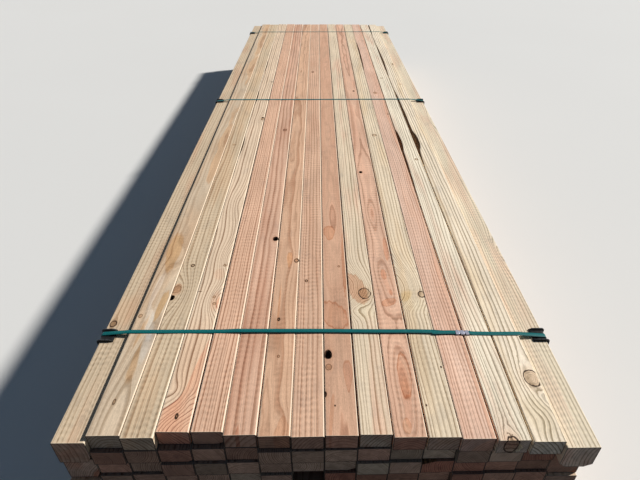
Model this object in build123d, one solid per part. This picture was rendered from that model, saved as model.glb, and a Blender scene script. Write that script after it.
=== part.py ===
from build123d import *

import os
from dataclasses import dataclass
from math import hypot, sqrt

# A strapped stack of planed battens, in millimetres.
# X runs across the stack, Y along the battens from the near end to the far end, Z up.
# The origin is under the middle of the stack, at the underside of the straps.

# Timber
BATTEN_WIDTH = 70.0
BATTEN_THICKNESS = 45.0
SIDE_BATTEN_SECTION = 70.0
TIMBER_LENGTH = 4000.0
ARRIS_CHAMFER = 2.0

# Stack
COLUMN_COUNT = 14
LAYER_COUNT = 8
SIDE_BATTEN_COUNT = 5
COLUMN_GAP = 0.6

# How far each batten that shows on top lies from the stack's near end line, left to right.
# A positive value lies further back.
LEFT_SIDE_SHIFT = -5.5
TOP_SHIFTS = (4.5, -0.5, 13.0, 12.5, 5.0, 2.0, 0.0, 2.5, 4.5, -2.0, -2.5, -6.5, -10.5, -13.5)
RIGHT_SIDE_SHIFT = -21.0
HIDDEN_SHIFT = 6.0
SLIPPED_COLUMN = 7
SLIPPED_LAYER = 5
SLIPPED_SHIFT = 48.0

# Straps, whose places are insets from the end lines and an offset from the middle
STRAP_WIDTH = 13.0
STRAP_THICKNESS = 0.9
STRAP_SEAT = 0.1
NEAR_STRAP_INSET = 297.0
MIDDLE_STRAP_OFFSET = 55.0
FAR_STRAP_INSET = 290.0
SIDE_STRAP_TAIL = 13.0
TOP_STRAP_TAIL = 60.0
STRAP_LAP = 5.0

# Crimped seals
SEAL_LENGTH = 33.0
SEAL_SHEET = 0.8
SEAL_LIP = 4.5
SEAL_CLEARANCE = 0.1
SEAL_NOTCH_RADIUS = 2.0
SEAL_NOTCH_SPACING = 12.0
SEAL_RAMP = 16.0
TOP_SEAL_JOINT = 12
SIDE_SEAL_DROP = 150.0

# Corner protectors
PROTECTOR_LENGTH = 41.0
PROTECTOR_PLATE = 2.6
PROTECTOR_TOP_LEG = 34.0
PROTECTOR_SIDE_LEG = 38.0
PROTECTOR_CORNER_RADIUS = 5.0
RIM_HEIGHT = 4.6
RIM_WIDTH = 3.0
RIM_RAMP = 9.0
RIM_CORNER_RADIUS = 8.0

# How far each protector has slipped along Y from the middle of its strap
PROTECTOR_SLIPS = {
    ("near", "left"): -2.5,
    ("near", "right"): -6.0,
    ("middle", "left"): 3.0,
    ("middle", "right"): -2.0,
    ("far", "left"): -3.0,
    ("far", "right"): 4.0,
}

# Places worked out from the sizes above
timber_base = STRAP_THICKNESS + STRAP_SEAT
stack_top = timber_base + LAYER_COUNT * BATTEN_THICKNESS
side_top = timber_base + SIDE_BATTEN_COUNT * SIDE_BATTEN_SECTION
column_pitch = BATTEN_WIDTH + COLUMN_GAP
inner_half = (COLUMN_COUNT * column_pitch - COLUMN_GAP) / 2
outer_half = inner_half + COLUMN_GAP + SIDE_BATTEN_SECTION
all_shifts = (LEFT_SIDE_SHIFT, RIGHT_SIDE_SHIFT, HIDDEN_SHIFT, SLIPPED_SHIFT) + TOP_SHIFTS
near_end = -TIMBER_LENGTH / 2 - (max(all_shifts) + min(all_shifts)) / 2


@dataclass(frozen=True)
class Wane:
    """A stretch of arris where the sawn edge ran out of the log and bark side is left.

    side is -1 for the left arris and 1 for the right one, level is 1 for top and -1 for bottom,
    place is its middle, from the batten's near end, and width and depth are its greatest
    reach over the batten's wide face and down its edge.
    """

    side: int
    level: int
    place: float
    length: float
    width: float
    depth: float


# Wane by column and layer, both counted from 1, from the left and from the ground
WANES = {
    (3, 8): (
        Wane(-1, 1, 1435.0, 260.0, 7.0, 9.0),
        Wane(-1, 1, 2073.0, 300.0, 8.0, 11.0),
        Wane(-1, 1, 2697.0, 290.0, 7.0, 9.0),
    ),
    (4, 8): (Wane(1, -1, 0.0, 700.0, 20.0, 9.0),),
    (12, 8): (Wane(-1, 1, 2984.0, 860.0, 8.0, 12.0),),
    (13, 8): (
        Wane(-1, 1, 1500.0, 280.0, 13.0, 16.0),
        Wane(-1, 1, 1330.0, 760.0, 6.0, 9.0),
    ),
    (14, 8): (
        Wane(-1, 1, 1745.0, 1080.0, 10.0, 14.0),
        Wane(-1, 1, 1520.0, 300.0, 22.0, 24.0),
        Wane(-1, 1, 2900.0, 900.0, 8.0, 12.0),
        Wane(-1, 1, 3980.0, 900.0, 7.0, 10.0),
    ),
    (3, 7): (Wane(1, -1, 0.0, 900.0, 14.0, 9.0),),
    (8, 6): (Wane(1, -1, 0.0, 600.0, 22.0, 10.0),),
    (11, 6): (Wane(-1, 1, 0.0, 800.0, 34.0, 14.0),),
}
LEFT_SIDE_WANES = {
    5: (Wane(1, -1, 0.0, 800.0, 9.0, 22.0),),
    4: (Wane(1, -1, 0.0, 1200.0, 10.0, 20.0),),
}
RIGHT_SIDE_WANES = {
    5: (Wane(-1, -1, 0.0, 500.0, 14.0, 12.0), Wane(1, -1, 0.0, 420.0, 16.0, 9.0)),
}


@dataclass(frozen=True)
class KnotHole:
    """A hole in a batten's top face where a loose knot fell out.

    across is measured from the batten's middle to the right, place from its near end, and lean
    is how far the branch leaned along the batten, in degrees.
    """

    across: float
    place: float
    radius: float
    depth: float
    lean: float


# Knot holes by column of the top layer
KNOT_HOLES = {
    2: (KnotHole(-29.0, 439.0, 4.5, 12.0, 30.0),),
    3: (KnotHole(27.0, 1776.0, 6.0, 14.0, -25.0), KnotHole(28.0, 2362.0, 5.0, 10.0, 20.0)),
    5: (KnotHole(26.0, 714.0, 8.0, 20.0, 25.0),),
    8: (KnotHole(-24.0, 223.0, 7.0, 16.0, 15.0),),
    10: (KnotHole(-19.0, 1186.0, 7.0, 15.0, -20.0), KnotHole(15.0, 2199.0, 6.0, 14.0, 20.0)),
}

# The gap beside the loose knot in the near end of one top batten, as its outline about the
# middle of the batten's top edge, and how far it reaches in
END_VOID_COLUMN = 13
END_VOID_OUTLINE = (
    (10.0, -15.0),
    (22.0, -19.0),
    (26.0, -30.0),
    (18.0, -40.0),
    (9.0, -42.0),
    (15.0, -29.0),
)
END_VOID_REACH = 34.0


def knot_hole_cutter(hole, thickness):
    """A leaning tapered plug whose section at the top face has the hole's radius."""
    taper = 0.4
    plug = Cone(hole.radius * (1 - taper), hole.radius * (1 + taper), 2 * hole.depth)
    return Pos(hole.across, hole.place, thickness / 2) * Rot(X=hole.lean) * plug


def end_void_cutter(thickness):
    """The jagged gap that a loose knot leaves at a batten's near end."""
    outline = make_face(Polyline(*END_VOID_OUTLINE, close=True))
    end_face = Plane(
        origin=(0, END_VOID_REACH, thickness / 2), x_dir=(1, 0, 0), z_dir=(0, -1, 0)
    )
    return extrude(end_face * outline, END_VOID_REACH, taper=-4)


def uneven(number):
    """A steady small unevenness between -1 and 1 for the battens that nobody lined up."""
    steps = 16
    return 2 * ((number * 37 + 11) % (steps + 1)) / steps - 1


def wane_drum(wane, width, thickness):
    """The round cutter that leaves one stretch of wane on a batten's arris."""
    face_depth = wane.width * wane.depth / hypot(wane.width, wane.depth)
    half_length = wane.length / 2
    radius = (half_length**2 + face_depth**2) / (2 * face_depth)
    outward = Vector(wane.side * wane.depth, 0, wane.level * wane.width).normalized()
    along_face = Vector(-wane.side * wane.width, 0, wane.level * wane.depth).normalized()
    arris = Vector(wane.side * width / 2, wane.place, wane.level * thickness / 2)
    middle = arris + outward * (radius - face_depth)
    drum = Cylinder(radius, 4 * hypot(wane.width, wane.depth))
    return Plane(origin=middle, x_dir=(0, 1, 0), z_dir=along_face) * drum


def batten(width, thickness, wanes=()):
    """One planed batten along Y, its near end at y = 0 and its section's centre on the axis."""
    blank = Box(width, TIMBER_LENGTH, thickness, align=(Align.CENTER, Align.MIN, Align.CENTER))
    timber = chamfer(blank.edges().filter_by(Axis.Y), ARRIS_CHAMFER)
    for wane in wanes:
        timber = timber - wane_drum(wane, width, thickness)
    return timber


def column_x(column):
    """The middle of an inner column, counted from 1."""
    return -inner_half + BATTEN_WIDTH / 2 + (column - 1) * column_pitch


def inner_batten(column, layer):
    """One batten of the inner block, in its place."""
    if layer == LAYER_COUNT:
        shift = TOP_SHIFTS[(column - 1) % len(TOP_SHIFTS)]
    elif (column, layer) == (SLIPPED_COLUMN, SLIPPED_LAYER):
        shift = SLIPPED_SHIFT
    else:
        shift = HIDDEN_SHIFT * uneven(column + COLUMN_COUNT * layer)
    z = timber_base + (layer - 0.5) * BATTEN_THICKNESS
    timber = batten(BATTEN_WIDTH, BATTEN_THICKNESS, WANES.get((column, layer), ()))
    if layer == LAYER_COUNT:
        for hole in KNOT_HOLES.get(column, ()):
            timber = timber - knot_hole_cutter(hole, BATTEN_THICKNESS)
        if column == END_VOID_COLUMN:
            timber = timber - end_void_cutter(BATTEN_THICKNESS)
    return Pos(column_x(column), near_end + shift, z) * timber


def side_batten(side, level):
    """One square batten of an outer column; side is -1 for the left column."""
    wanes = (LEFT_SIDE_WANES if side < 0 else RIGHT_SIDE_WANES).get(level, ())
    if level == SIDE_BATTEN_COUNT:
        shift = LEFT_SIDE_SHIFT if side < 0 else RIGHT_SIDE_SHIFT
    else:
        shift = HIDDEN_SHIFT * uneven(level * 3 + side)
    x = side * (outer_half - SIDE_BATTEN_SECTION / 2)
    z = timber_base + (level - 0.5) * SIDE_BATTEN_SECTION
    timber = batten(SIDE_BATTEN_SECTION, SIDE_BATTEN_SECTION, wanes)
    return Pos(x, near_end + shift, z) * timber


def strap_path():
    """The corners of a strap's inner face in XZ, anticlockwise from the right bottom one."""
    lip_x = outer_half + PROTECTOR_PLATE + STRAP_SEAT
    right = (
        (outer_half + STRAP_SEAT, timber_base - STRAP_SEAT),
        (lip_x, side_top - PROTECTOR_SIDE_LEG),
        (lip_x, side_top + PROTECTOR_PLATE + STRAP_SEAT),
        (inner_half, stack_top + STRAP_SEAT),
    )
    left = tuple((-x, z) for x, z in reversed(right))
    return right + left


def rounded_loop(face, stand_off):
    """Round a strap's face where it turns over the bottom arrises and the protectors."""
    turns = (
        (timber_base, ARRIS_CHAMFER + stand_off),
        (side_top + PROTECTOR_PLATE, PROTECTOR_CORNER_RADIUS + stand_off),
    )
    for height, radius in turns:
        for side in (-1, 1):
            turn = face.vertices().sort_by_distance((side * outer_half, height, 0))[0]
            face = fillet(turn, radius)
    return face


def seal_rise(base):
    """The low bridge in a strap's top run where a seal's lips lie under it, drawn in XZ."""
    rise = SEAL_SHEET + 2 * SEAL_CLEARANCE
    half_flat = SEAL_LENGTH / 2 + SEAL_CLEARANCE
    half_foot = half_flat + SEAL_RAMP
    sunk = base - STRAP_THICKNESS / 2
    middle = top_seal_x()
    return make_face(
        Polyline(
            (middle - half_foot, base),
            (middle - half_flat, base + rise),
            (middle + half_flat, base + rise),
            (middle + half_foot, base),
            (middle + half_foot, sunk),
            (middle - half_foot, sunk),
            close=True,
        )
    )


def top_seal_x():
    """The seal on top sits over a joint between two inner columns."""
    return column_x(TOP_SEAL_JOINT) + column_pitch / 2


def seal_plane(on_top):
    """Where a seal sits: origin on the strap's inner face, X along the strap, Z outward."""
    if on_top:
        height = stack_top + STRAP_SEAT + SEAL_SHEET + 2 * SEAL_CLEARANCE
        return Plane(origin=(top_seal_x(), 0, height), x_dir=(1, 0, 0), z_dir=(0, 0, 1))
    bottom, lip = (Vector(x, 0, z) for x, z in strap_path()[:2])
    down = (bottom - lip).normalized()
    outward = down.cross(Vector(0, 1, 0))
    return Plane(origin=lip + down * SIDE_SEAL_DROP, x_dir=down, z_dir=outward)


def strap(y, seal_on_top):
    """One strap: a taut loop whose ends lap under the seal, with a tail past it.

    The tail points left on top and down on a side.
    """
    sharp = make_face(Polyline(*strap_path(), close=True))
    inside = rounded_loop(sharp, STRAP_SEAT)
    outside = rounded_loop(
        offset(sharp, STRAP_THICKNESS, kind=Kind.INTERSECTION), STRAP_SEAT + STRAP_THICKNESS
    )
    if seal_on_top:
        inside = inside + seal_rise(stack_top + STRAP_SEAT)
        outside = outside + seal_rise(stack_top + STRAP_SEAT + STRAP_THICKNESS)
    loop = extrude(cross_plane(STRAP_WIDTH / 2) * (outside - inside), STRAP_WIDTH)
    before, after = (TOP_STRAP_TAIL, STRAP_LAP) if seal_on_top else (STRAP_LAP, SIDE_STRAP_TAIL)
    lap = Box(
        before + SEAL_LENGTH + after,
        STRAP_WIDTH,
        STRAP_THICKNESS,
        align=(Align.MIN, Align.CENTER, Align.MIN),
    )
    lap = Pos(-SEAL_LENGTH / 2 - before, 0, STRAP_THICKNESS) * lap
    return Pos(0, y, 0) * (loop + seal_plane(seal_on_top) * lap)


def cross_plane(y):
    """A plane across the stack whose drawing's X and Y are the model's X and Z, facing -Y."""
    return Plane(origin=(0, y, 0), x_dir=(1, 0, 0), z_dir=(0, -1, 0))


def seal(y, on_top):
    """One folded sheet seal round both layers of a strap, notched by the crimper."""
    half_inside = STRAP_WIDTH / 2 + SEAL_CLEARANCE
    floor = -SEAL_CLEARANCE
    room = 2 * STRAP_THICKNESS + 2 * SEAL_CLEARANCE
    standing = (Align.CENTER, Align.MIN)
    outline = Rectangle(2 * (half_inside + SEAL_SHEET), room + 2 * SEAL_SHEET, align=standing)
    outline = fillet(outline.vertices(), SEAL_SHEET)
    hollow = Pos(0, SEAL_SHEET) * Rectangle(2 * half_inside, room, align=standing)
    mouth = Rectangle(2 * (half_inside - SEAL_LIP), 3 * SEAL_SHEET)
    across = Plane(
        origin=(-SEAL_LENGTH / 2, 0, floor - SEAL_SHEET), x_dir=(0, 1, 0), z_dir=(1, 0, 0)
    )
    sheet = extrude(across * (outline - hollow - mouth), SEAL_LENGTH)
    notch = Cylinder(SEAL_NOTCH_RADIUS, 4 * room)
    for along in (-SEAL_NOTCH_SPACING / 2, SEAL_NOTCH_SPACING / 2):
        for side in (-1, 1):
            sheet = sheet - Pos(along, side * (half_inside + SEAL_SHEET), 0) * notch
    return Pos(0, y, 0) * (seal_plane(on_top) * sheet)


def angle_outline(proud, radius):
    """An angle over the right top arris, this proud of the timber, drawn about that arris."""
    angle = make_face(
        Polyline(
            (0, 0),
            (-PROTECTOR_TOP_LEG, 0),
            (-PROTECTOR_TOP_LEG, PROTECTOR_PLATE),
            (RIM_RAMP - PROTECTOR_TOP_LEG, proud),
            (proud, proud),
            (proud, RIM_RAMP - PROTECTOR_SIDE_LEG),
            (PROTECTOR_PLATE, -PROTECTOR_SIDE_LEG),
            (0, -PROTECTOR_SIDE_LEG),
            close=True,
        )
    )
    angle = fillet(angle.vertices().sort_by_distance((proud, proud, 0))[0], radius)
    return fillet(angle.vertices().sort_by_distance((0, 0, 0))[0], ARRIS_CHAMFER)


def corner_protector(side, y):
    """One moulded angle that keeps a strap off the outer top arris; side is left or right."""
    plate = extrude(
        cross_plane(PROTECTOR_LENGTH / 2) * angle_outline(PROTECTOR_PLATE, PROTECTOR_CORNER_RADIUS),
        PROTECTOR_LENGTH,
    )
    rim_outline = angle_outline(PROTECTOR_PLATE + RIM_HEIGHT, RIM_CORNER_RADIUS)
    for rim_end in (PROTECTOR_LENGTH / 2, RIM_WIDTH - PROTECTOR_LENGTH / 2):
        plate = plate + extrude(cross_plane(rim_end) * rim_outline, RIM_WIDTH)
    placed = Pos(outer_half, y, side_top) * plate
    return placed if side == "right" else mirror(placed, about=Plane.YZ)


def save(name, solids):
    """Write one named sub-part."""
    export_step(Compound(label=name, children=solids), os.path.join("parts", name + ".step"))


def main():
    os.makedirs("parts", exist_ok=True)
    for layer in range(1, LAYER_COUNT):
        row = [inner_batten(column, layer) for column in range(1, COLUMN_COUNT + 1)]
        save(f"batten_layer_{layer}", row)
    for column in range(1, COLUMN_COUNT + 1):
        save(f"top_batten_{column:02d}", [inner_batten(column, LAYER_COUNT)])
    for level in range(1, SIDE_BATTEN_COUNT + 1):
        save(f"left_side_batten_{level}", [side_batten(-1, level)])
        save(f"right_side_batten_{level}", [side_batten(1, level)])
    straps = (
        ("near", NEAR_STRAP_INSET, True),
        ("middle", TIMBER_LENGTH / 2 + MIDDLE_STRAP_OFFSET, False),
        ("far", TIMBER_LENGTH - FAR_STRAP_INSET, False),
    )
    for name, place, seal_on_top in straps:
        y = near_end + place
        save(f"{name}_strap", [strap(y, seal_on_top)])
        save(f"{name}_strap_seal", [seal(y, seal_on_top)])
        for side in ("left", "right"):
            protector = corner_protector(side, y + PROTECTOR_SLIPS[name, side])
            save(f"{name}_{side}_corner_protector", [protector])


main()
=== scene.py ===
import logging
import math
from dataclasses import dataclass, field
from enum import Enum
from typing import Optional, Sequence, Union

import bpy
from mathutils import Matrix, Vector, noise


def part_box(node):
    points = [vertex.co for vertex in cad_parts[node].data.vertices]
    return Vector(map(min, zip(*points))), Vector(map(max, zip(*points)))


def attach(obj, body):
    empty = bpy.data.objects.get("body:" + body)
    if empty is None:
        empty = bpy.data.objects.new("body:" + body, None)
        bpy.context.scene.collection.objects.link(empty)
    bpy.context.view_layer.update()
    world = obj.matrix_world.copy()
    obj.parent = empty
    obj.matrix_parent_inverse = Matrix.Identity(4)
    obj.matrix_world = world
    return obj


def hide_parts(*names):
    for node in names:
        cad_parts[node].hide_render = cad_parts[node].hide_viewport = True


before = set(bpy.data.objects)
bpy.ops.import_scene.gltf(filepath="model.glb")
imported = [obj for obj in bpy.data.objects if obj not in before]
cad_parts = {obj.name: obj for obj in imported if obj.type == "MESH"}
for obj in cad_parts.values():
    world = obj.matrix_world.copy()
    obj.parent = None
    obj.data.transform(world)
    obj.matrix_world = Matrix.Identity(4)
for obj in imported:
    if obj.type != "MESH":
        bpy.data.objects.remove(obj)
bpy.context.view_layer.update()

log = logging.getLogger("timber stack")

# Sizes are in millimetres, as a joiner writes them, and MM turns them into the frame's metres.
MM = 0.001

Feed = Union["Value", float, Sequence[float]]
Colour = tuple[float, float, float]
Line = tuple[float, float]
Cell = tuple[float, float, float, float]


def linear(shade: float) -> float:
    """One channel of a screen colour, 0 to 255, as the linear share that a shader takes."""
    share = shade / 255
    return share / 12.92 if share <= 0.04045 else ((share + 0.055) / 1.055) ** 2.4


def paint(colour: Colour, *factors: float) -> tuple[float, ...]:
    """A screen colour as a linear one with full alpha, its channels multiplied by the factors."""
    shares = zip(colour, factors or (1.0, 1.0, 1.0))
    return tuple(min(1.0, linear(c) * f) for c, f in shares) + (1.0,)


def eased(low: float, high: float, value: float) -> float:
    """How far value has gone from low to high, from 0 to 1, with soft ends."""
    share = min(1.0, max(0.0, (value - low) / (high - low)))
    return share * share * (3 - 2 * share)


def wobble(x: float, y: float = 0.0, z: float = 0.0) -> float:
    """A smooth steady unevenness between about -1 and 1 at a place."""
    return noise.noise(Vector((x + 0.37, y + 7.11, z + 3.53)))


def arc(x: float, z: float, radius: float, angles: Sequence[float]) -> list[Line]:
    """Points on a circle about x and z, at these angles in degrees."""
    turns = [math.radians(angle) for angle in angles]
    return [(x + radius * math.cos(turn), z + radius * math.sin(turn)) for turn in turns]


class Value:
    """What a shader node gives to the next, on which sums are written as on a plain number."""

    def __init__(self, graph: "Graph", socket: bpy.types.NodeSocket) -> None:
        """Keep the tree that the value is in, and its socket."""
        self.graph, self.socket = graph, socket

    def __add__(self, other: Feed) -> "Value":
        """The sum of two numbers."""
        return self.maths("ADD", other)

    def __sub__(self, other: Feed) -> "Value":
        """The difference of two numbers."""
        return self.maths("SUBTRACT", other)

    def __mul__(self, other: Feed) -> "Value":
        """The product of two numbers."""
        return self.maths("MULTIPLY", other)

    def __truediv__(self, other: Feed) -> "Value":
        """One number divided by another."""
        return self.maths("DIVIDE", other)

    def __abs__(self) -> "Value":
        """The number without its sign."""
        return self.maths("ABSOLUTE")

    def maths(self, operation: str, *others: Feed, clamp: bool = False) -> "Value":
        """The result of one sum on this number and others."""
        feeds = dict(enumerate((self, *others)))
        return self.graph.read("Math", feeds, operation=operation, use_clamp=clamp)

    def vector(self, operation: str, *others: Feed) -> "Value":
        """The result of one sum on this vector and others, a number for LENGTH and DOT_PRODUCT."""
        output = "Value" if operation in ("LENGTH", "DOT_PRODUCT") else "Vector"
        return self.graph.read(
            "VectorMath", dict(enumerate((self, *others))), output, operation=operation
        )

    def times(self, shares: Feed) -> "Value":
        """A colour or vector with each part made stronger or weaker by its own share."""
        return self.vector("MULTIPLY", shares)

    def on(self, colour: Feed) -> "Value":
        """A colour or vector made stronger or weaker by this number."""
        return self.graph.read("VectorMath", {0: colour, 3: self}, operation="SCALE")

    def split(self) -> list["Value"]:
        """The three parts of a vector."""
        node = self.graph.add("SeparateXYZ", {0: self})
        return [Value(self.graph, part) for part in node.outputs]

    def ramp(self, low: float, high: float) -> "Value":
        """0 at low and 1 at high, with soft ends; low may be the higher one."""
        feeds = {"Value": self, "From Min": low, "From Max": high}
        return self.graph.read("MapRange", feeds, interpolation_type="SMOOTHSTEP")

    def spread(self, low: float, high: float) -> "Value":
        """A number from 0 to 1 spread evenly between low and high."""
        return self.maths("MULTIPLY_ADD", high - low, low)

    def blend(self, base: Feed, other: Feed) -> "Value":
        """One colour going over to another as this number goes from 0 to 1."""
        return self.graph.read("Mix", {0: self, 6: base, 7: other}, 2, data_type="RGBA")

    def threads(self, scale: float, detail: float = 2.0) -> "Value":
        """Noise that changes only with this number."""
        feeds = {"W": self, "Scale": scale, "Detail": detail}
        return self.graph.read("TexNoise", feeds, "Fac", noise_dimensions="1D")

    def luck(self, output: str = "Value") -> "Value":
        """A random number for each value of this one, or three of them for Color."""
        return self.graph.read("TexWhiteNoise", {"W": self}, output, noise_dimensions="1D")


class Graph:
    """A tree of shader nodes."""

    def __init__(self, tree: bpy.types.NodeTree) -> None:
        """Keep the tree that the nodes are added to."""
        self.tree = tree

    def add(self, kind: str, feeds: Optional[dict] = None, **settings) -> bpy.types.Node:
        """Add one node.

        Args:
            kind: The node's type without its ShaderNode start.
            feeds: What goes into its inputs, by name or number.
            **settings: The node's own settings.

        Returns:
            The new node.
        """
        node = self.tree.nodes.new("ShaderNode" + kind)
        for key, value in settings.items():
            setattr(node, key, value)
        for key, value in (feeds or {}).items():
            self.feed(node.inputs[key], value)
        return node

    def read(
        self, kind: str, feeds: Optional[dict] = None, output: Union[int, str] = 0, **settings
    ) -> Value:
        """Add one node and take the output of this number or name."""
        return Value(self, self.add(kind, feeds, **settings).outputs[output])

    def feed(self, socket: bpy.types.NodeSocket, value: Feed) -> None:
        """Join a socket to another node's value, or give it a plain one."""
        if isinstance(value, Value):
            self.tree.links.new(value.socket, socket)
        elif isinstance(value, (int, float)):
            socket.default_value = value
        else:
            socket.default_value = tuple(value)[: len(socket.default_value)]

    def join(self, x: Feed, y: Feed, z: Feed) -> Value:
        """A vector from its three parts."""
        return self.read("CombineXYZ", {0: x, 1: y, 2: z})

    def attribute(self, name: str, output: str = "Fac") -> Value:
        """A value that the mesh carries at its points."""
        return self.read("Attribute", None, output, attribute_name=name)

    def seen(self) -> Value:
        """Tell rays that show this in the picture from those that only carry its light.

        Returns:
            1 for a ray that shows it and 0 for another.
        """
        rays = self.add("LightPath").outputs
        seen = Value(self, rays["Is Camera Ray"])
        for ray in ("Is Glossy Ray", "Is Transmission Ray"):
            seen = seen.maths("MAXIMUM", Value(self, rays[ray]))
        return seen


class Surface(Graph):
    """One material's nodes, ending in a single shader.

    place is where each point lies in its piece, in millimetres, as the mesh carries it in metres.
    """

    def __init__(self, name: str, carried: str = "band", seed: float = 0.0) -> None:
        """Start an empty material.

        Args:
            name: The material's name.
            carried: The mesh's value that says where each point lies.
            seed: What sets its noises apart from other materials'.
        """
        self.material = bpy.data.materials.new(name)
        self.material.use_nodes = True
        super().__init__(self.material.node_tree)
        self.tree.nodes.clear()
        self.seed = seed
        self.place = self.attribute(carried, "Vector").times((1 / MM,) * 3)

    def grain(
        self,
        size: Sequence[float],
        number: float = 0.0,
        detail: float = 2.0,
        place: Optional[Value] = None,
        output: str = "Fac",
    ) -> Value:
        """Noise whose blots have a size in each direction.

        Args:
            size: A blot's size across, along and up.
            number: What sets it apart from the material's other noises.
            detail: How many finer layers it has.
            place: Where it is read, if not where the point lies.
            output: Fac for a number round a half, Color for three of them.

        Returns:
            The noise.
        """
        seed = self.seed + number
        shift = (seed * 3.1, seed * 1.7, seed * 2.3)
        where = (place or self.place).vector("MULTIPLY_ADD", tuple(1 / s for s in size), shift)
        return self.read("TexNoise", {"Vector": where, "Scale": 1.0, "Detail": detail}, output)

    def finish(
        self, colour: Feed, roughness: Feed, height: Feed, relief: float, **sockets: Feed
    ) -> bpy.types.Material:
        """Close the material with its shader.

        Args:
            colour: The base colour.
            roughness: The roughness.
            height: The surface's height, from 0 to 1.
            relief: How far apart the heights 0 and 1 are, in millimetres.
            **sockets: Other sockets of the shader, with _ for a space.

        Returns:
            The finished material.
        """
        bump = self.read("Bump", {"Height": height, "Strength": 1.0, "Distance": relief * MM})
        feeds = {"Base Color": colour, "Roughness": roughness, "Normal": bump}
        feeds.update((key.replace("_", " "), value) for key, value in sockets.items())
        self.add("OutputMaterial", {0: self.read("BsdfPrincipled", feeds)})
        return self.material


class KnotLook(Enum):
    """How a knot shows on a planed face."""

    SOUND = "grown in, with reddish wood round it"
    RINGED = "set in a thin dark ring of bark"
    OPEN = "fallen out, or dark and open"


@dataclass(frozen=True)
class Knot:
    """A knot in a batten's top face, or through its near end.

    across is measured from the batten's middle to the right and along from its near end. radius is
    across the grain, stretch says how much longer it is along it, and reach how much deeper than
    wide it goes below the top face. flow is how strongly the grain runs round it.
    """

    across: float
    along: float
    radius: float
    look: KnotLook = KnotLook.SOUND
    stretch: float = 1.3
    reach: float = 12.0
    height: float = 22.5
    flow: float = 1.0


@dataclass(frozen=True)
class Figure:
    """A place where the growth rings rise or dip, which shows as nested ovals or a loop."""

    across: float
    along: float
    width: float
    length: float
    rise: float


@dataclass(frozen=True)
class Patch:
    """A place of another tone on the top face, such as heartwood just grazed by the saw.

    width and length are half of its size. taper is how much wider its far end is than its middle,
    lean how far that end lies to the right, and edge how dark the thin line round it is.
    """

    across: float
    along: float
    width: float
    length: float
    tint: Colour = (0.93, 0.80, 0.70)
    taper: float = 0.0
    lean: float = 0.0
    edge: float = 0.0
    soft: float = 0.14


class Cut(Enum):
    """Where the pith of the log lay from a batten's middle: across, and below."""

    FLAT = (3.0, 66.0)
    FLAT_LEFT = (-20.0, 60.0)
    FLAT_RIGHT = (22.0, 58.0)
    RIFT_LEFT = (-78.0, 66.0)
    RIFT_RIGHT = (82.0, 60.0)
    QUARTER_LEFT = (-150.0, 14.0)
    QUARTER_RIGHT = (140.0, 18.0)


class KnotNodes:
    """The node group that bends the grain round one knot and says how near it is."""

    GROUP_NAME = "knot in timber"
    STRETCH_OF_FLOW = 0.58
    FADE = -0.11

    def group(self) -> bpy.types.NodeTree:
        """The group, made the first time that it is asked for.

        Returns:
            A tree whose outputs are Shift, how far the grain is pushed across in millimetres, and
            Near, the distance from the knot's middle, where 1 is its rim.
        """
        made = bpy.data.node_groups.get(self.GROUP_NAME)
        if made:
            return made
        tree = bpy.data.node_groups.new(self.GROUP_NAME, "ShaderNodeTree")
        inputs = dict.fromkeys(("Place", "Middle", "Size"), "Vector")
        inputs |= dict.fromkeys(("Flow", "Ragged"), "Float")
        for name, kind in inputs.items():
            tree.interface.new_socket(name, in_out="INPUT", socket_type="NodeSocket" + kind)
        for name in ("Shift", "Near"):
            tree.interface.new_socket(name, in_out="OUTPUT", socket_type="NodeSocketFloat")
        graph = Graph(tree)
        inlet = tree.nodes.new("NodeGroupInput").outputs
        outlet = tree.nodes.new("NodeGroupOutput").inputs
        place, middle, size, flow, ragged = (Value(graph, inlet[name]) for name in inputs)
        offset = place.vector("SUBTRACT", middle)
        share = offset.vector("DIVIDE", size)
        flat = share.times((1.0, self.STRETCH_OF_FLOW, 0.0))
        square = flat.vector("DOT_PRODUCT", flat)
        fade = (square * self.FADE).maths("EXPONENT")
        push = fade / square.maths("MAXIMUM", 1.0)
        shift = offset.split()[0] * push * flow
        stir = ragged * size.split()[0] * fade
        graph.feed(outlet["Shift"], shift.maths("MULTIPLY_ADD", -1.0, stir))
        graph.feed(outlet["Near"], share.vector("LENGTH") + ragged)
        return tree

    def use(self, surface: Surface, knot: Knot, ragged: Feed) -> tuple[Value, Value]:
        """Put one knot into a material.

        Args:
            surface: The material's nodes.
            knot: The knot.
            ragged: A small unevenness of its rim.

        Returns:
            The Shift and Near values.
        """
        radius = knot.radius
        feeds = {
            "Place": surface.place,
            "Middle": (knot.across, knot.along, knot.height),
            "Size": (radius, radius * knot.stretch, radius * knot.reach),
            "Flow": knot.flow,
            "Ragged": ragged,
        }
        node = surface.add("Group", feeds, node_tree=self.group())
        return Value(surface, node.outputs["Shift"]), Value(surface, node.outputs["Near"])


@dataclass(frozen=True)
class TimberFinish:
    """Planed softwood: growth rings about a pith, knots, fibres, planer ripple and sawn ends.

    tone is the wood's colour away from the pith and inner its colour nearer to it than heart
    millimetres, which goes over to heart_far beyond turn. wander is how far the pith strays along
    the batten, and waves how uneven the rings are. ripple is the strength of the planer's marks.
    """

    name: str
    tone: Colour
    inner: Colour
    cut: Cut
    pitch: float = 4.0
    contrast: float = 1.0
    heart: float = 0.0
    heart_far: float = 0.0
    turn: float = 1500.0
    wander: float = 7.0
    waves: float = 3.0
    ripple: float = 0.3
    seed: float = 1.0
    knots: tuple[Knot, ...] = ()
    figures: tuple[Figure, ...] = ()
    patches: tuple[Patch, ...] = ()
    mixed: bool = False
    slot: str = "heartwood"

    def material(self) -> bpy.types.Material:
        """Build the finish."""
        return TimberSurface(self).build()


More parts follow.
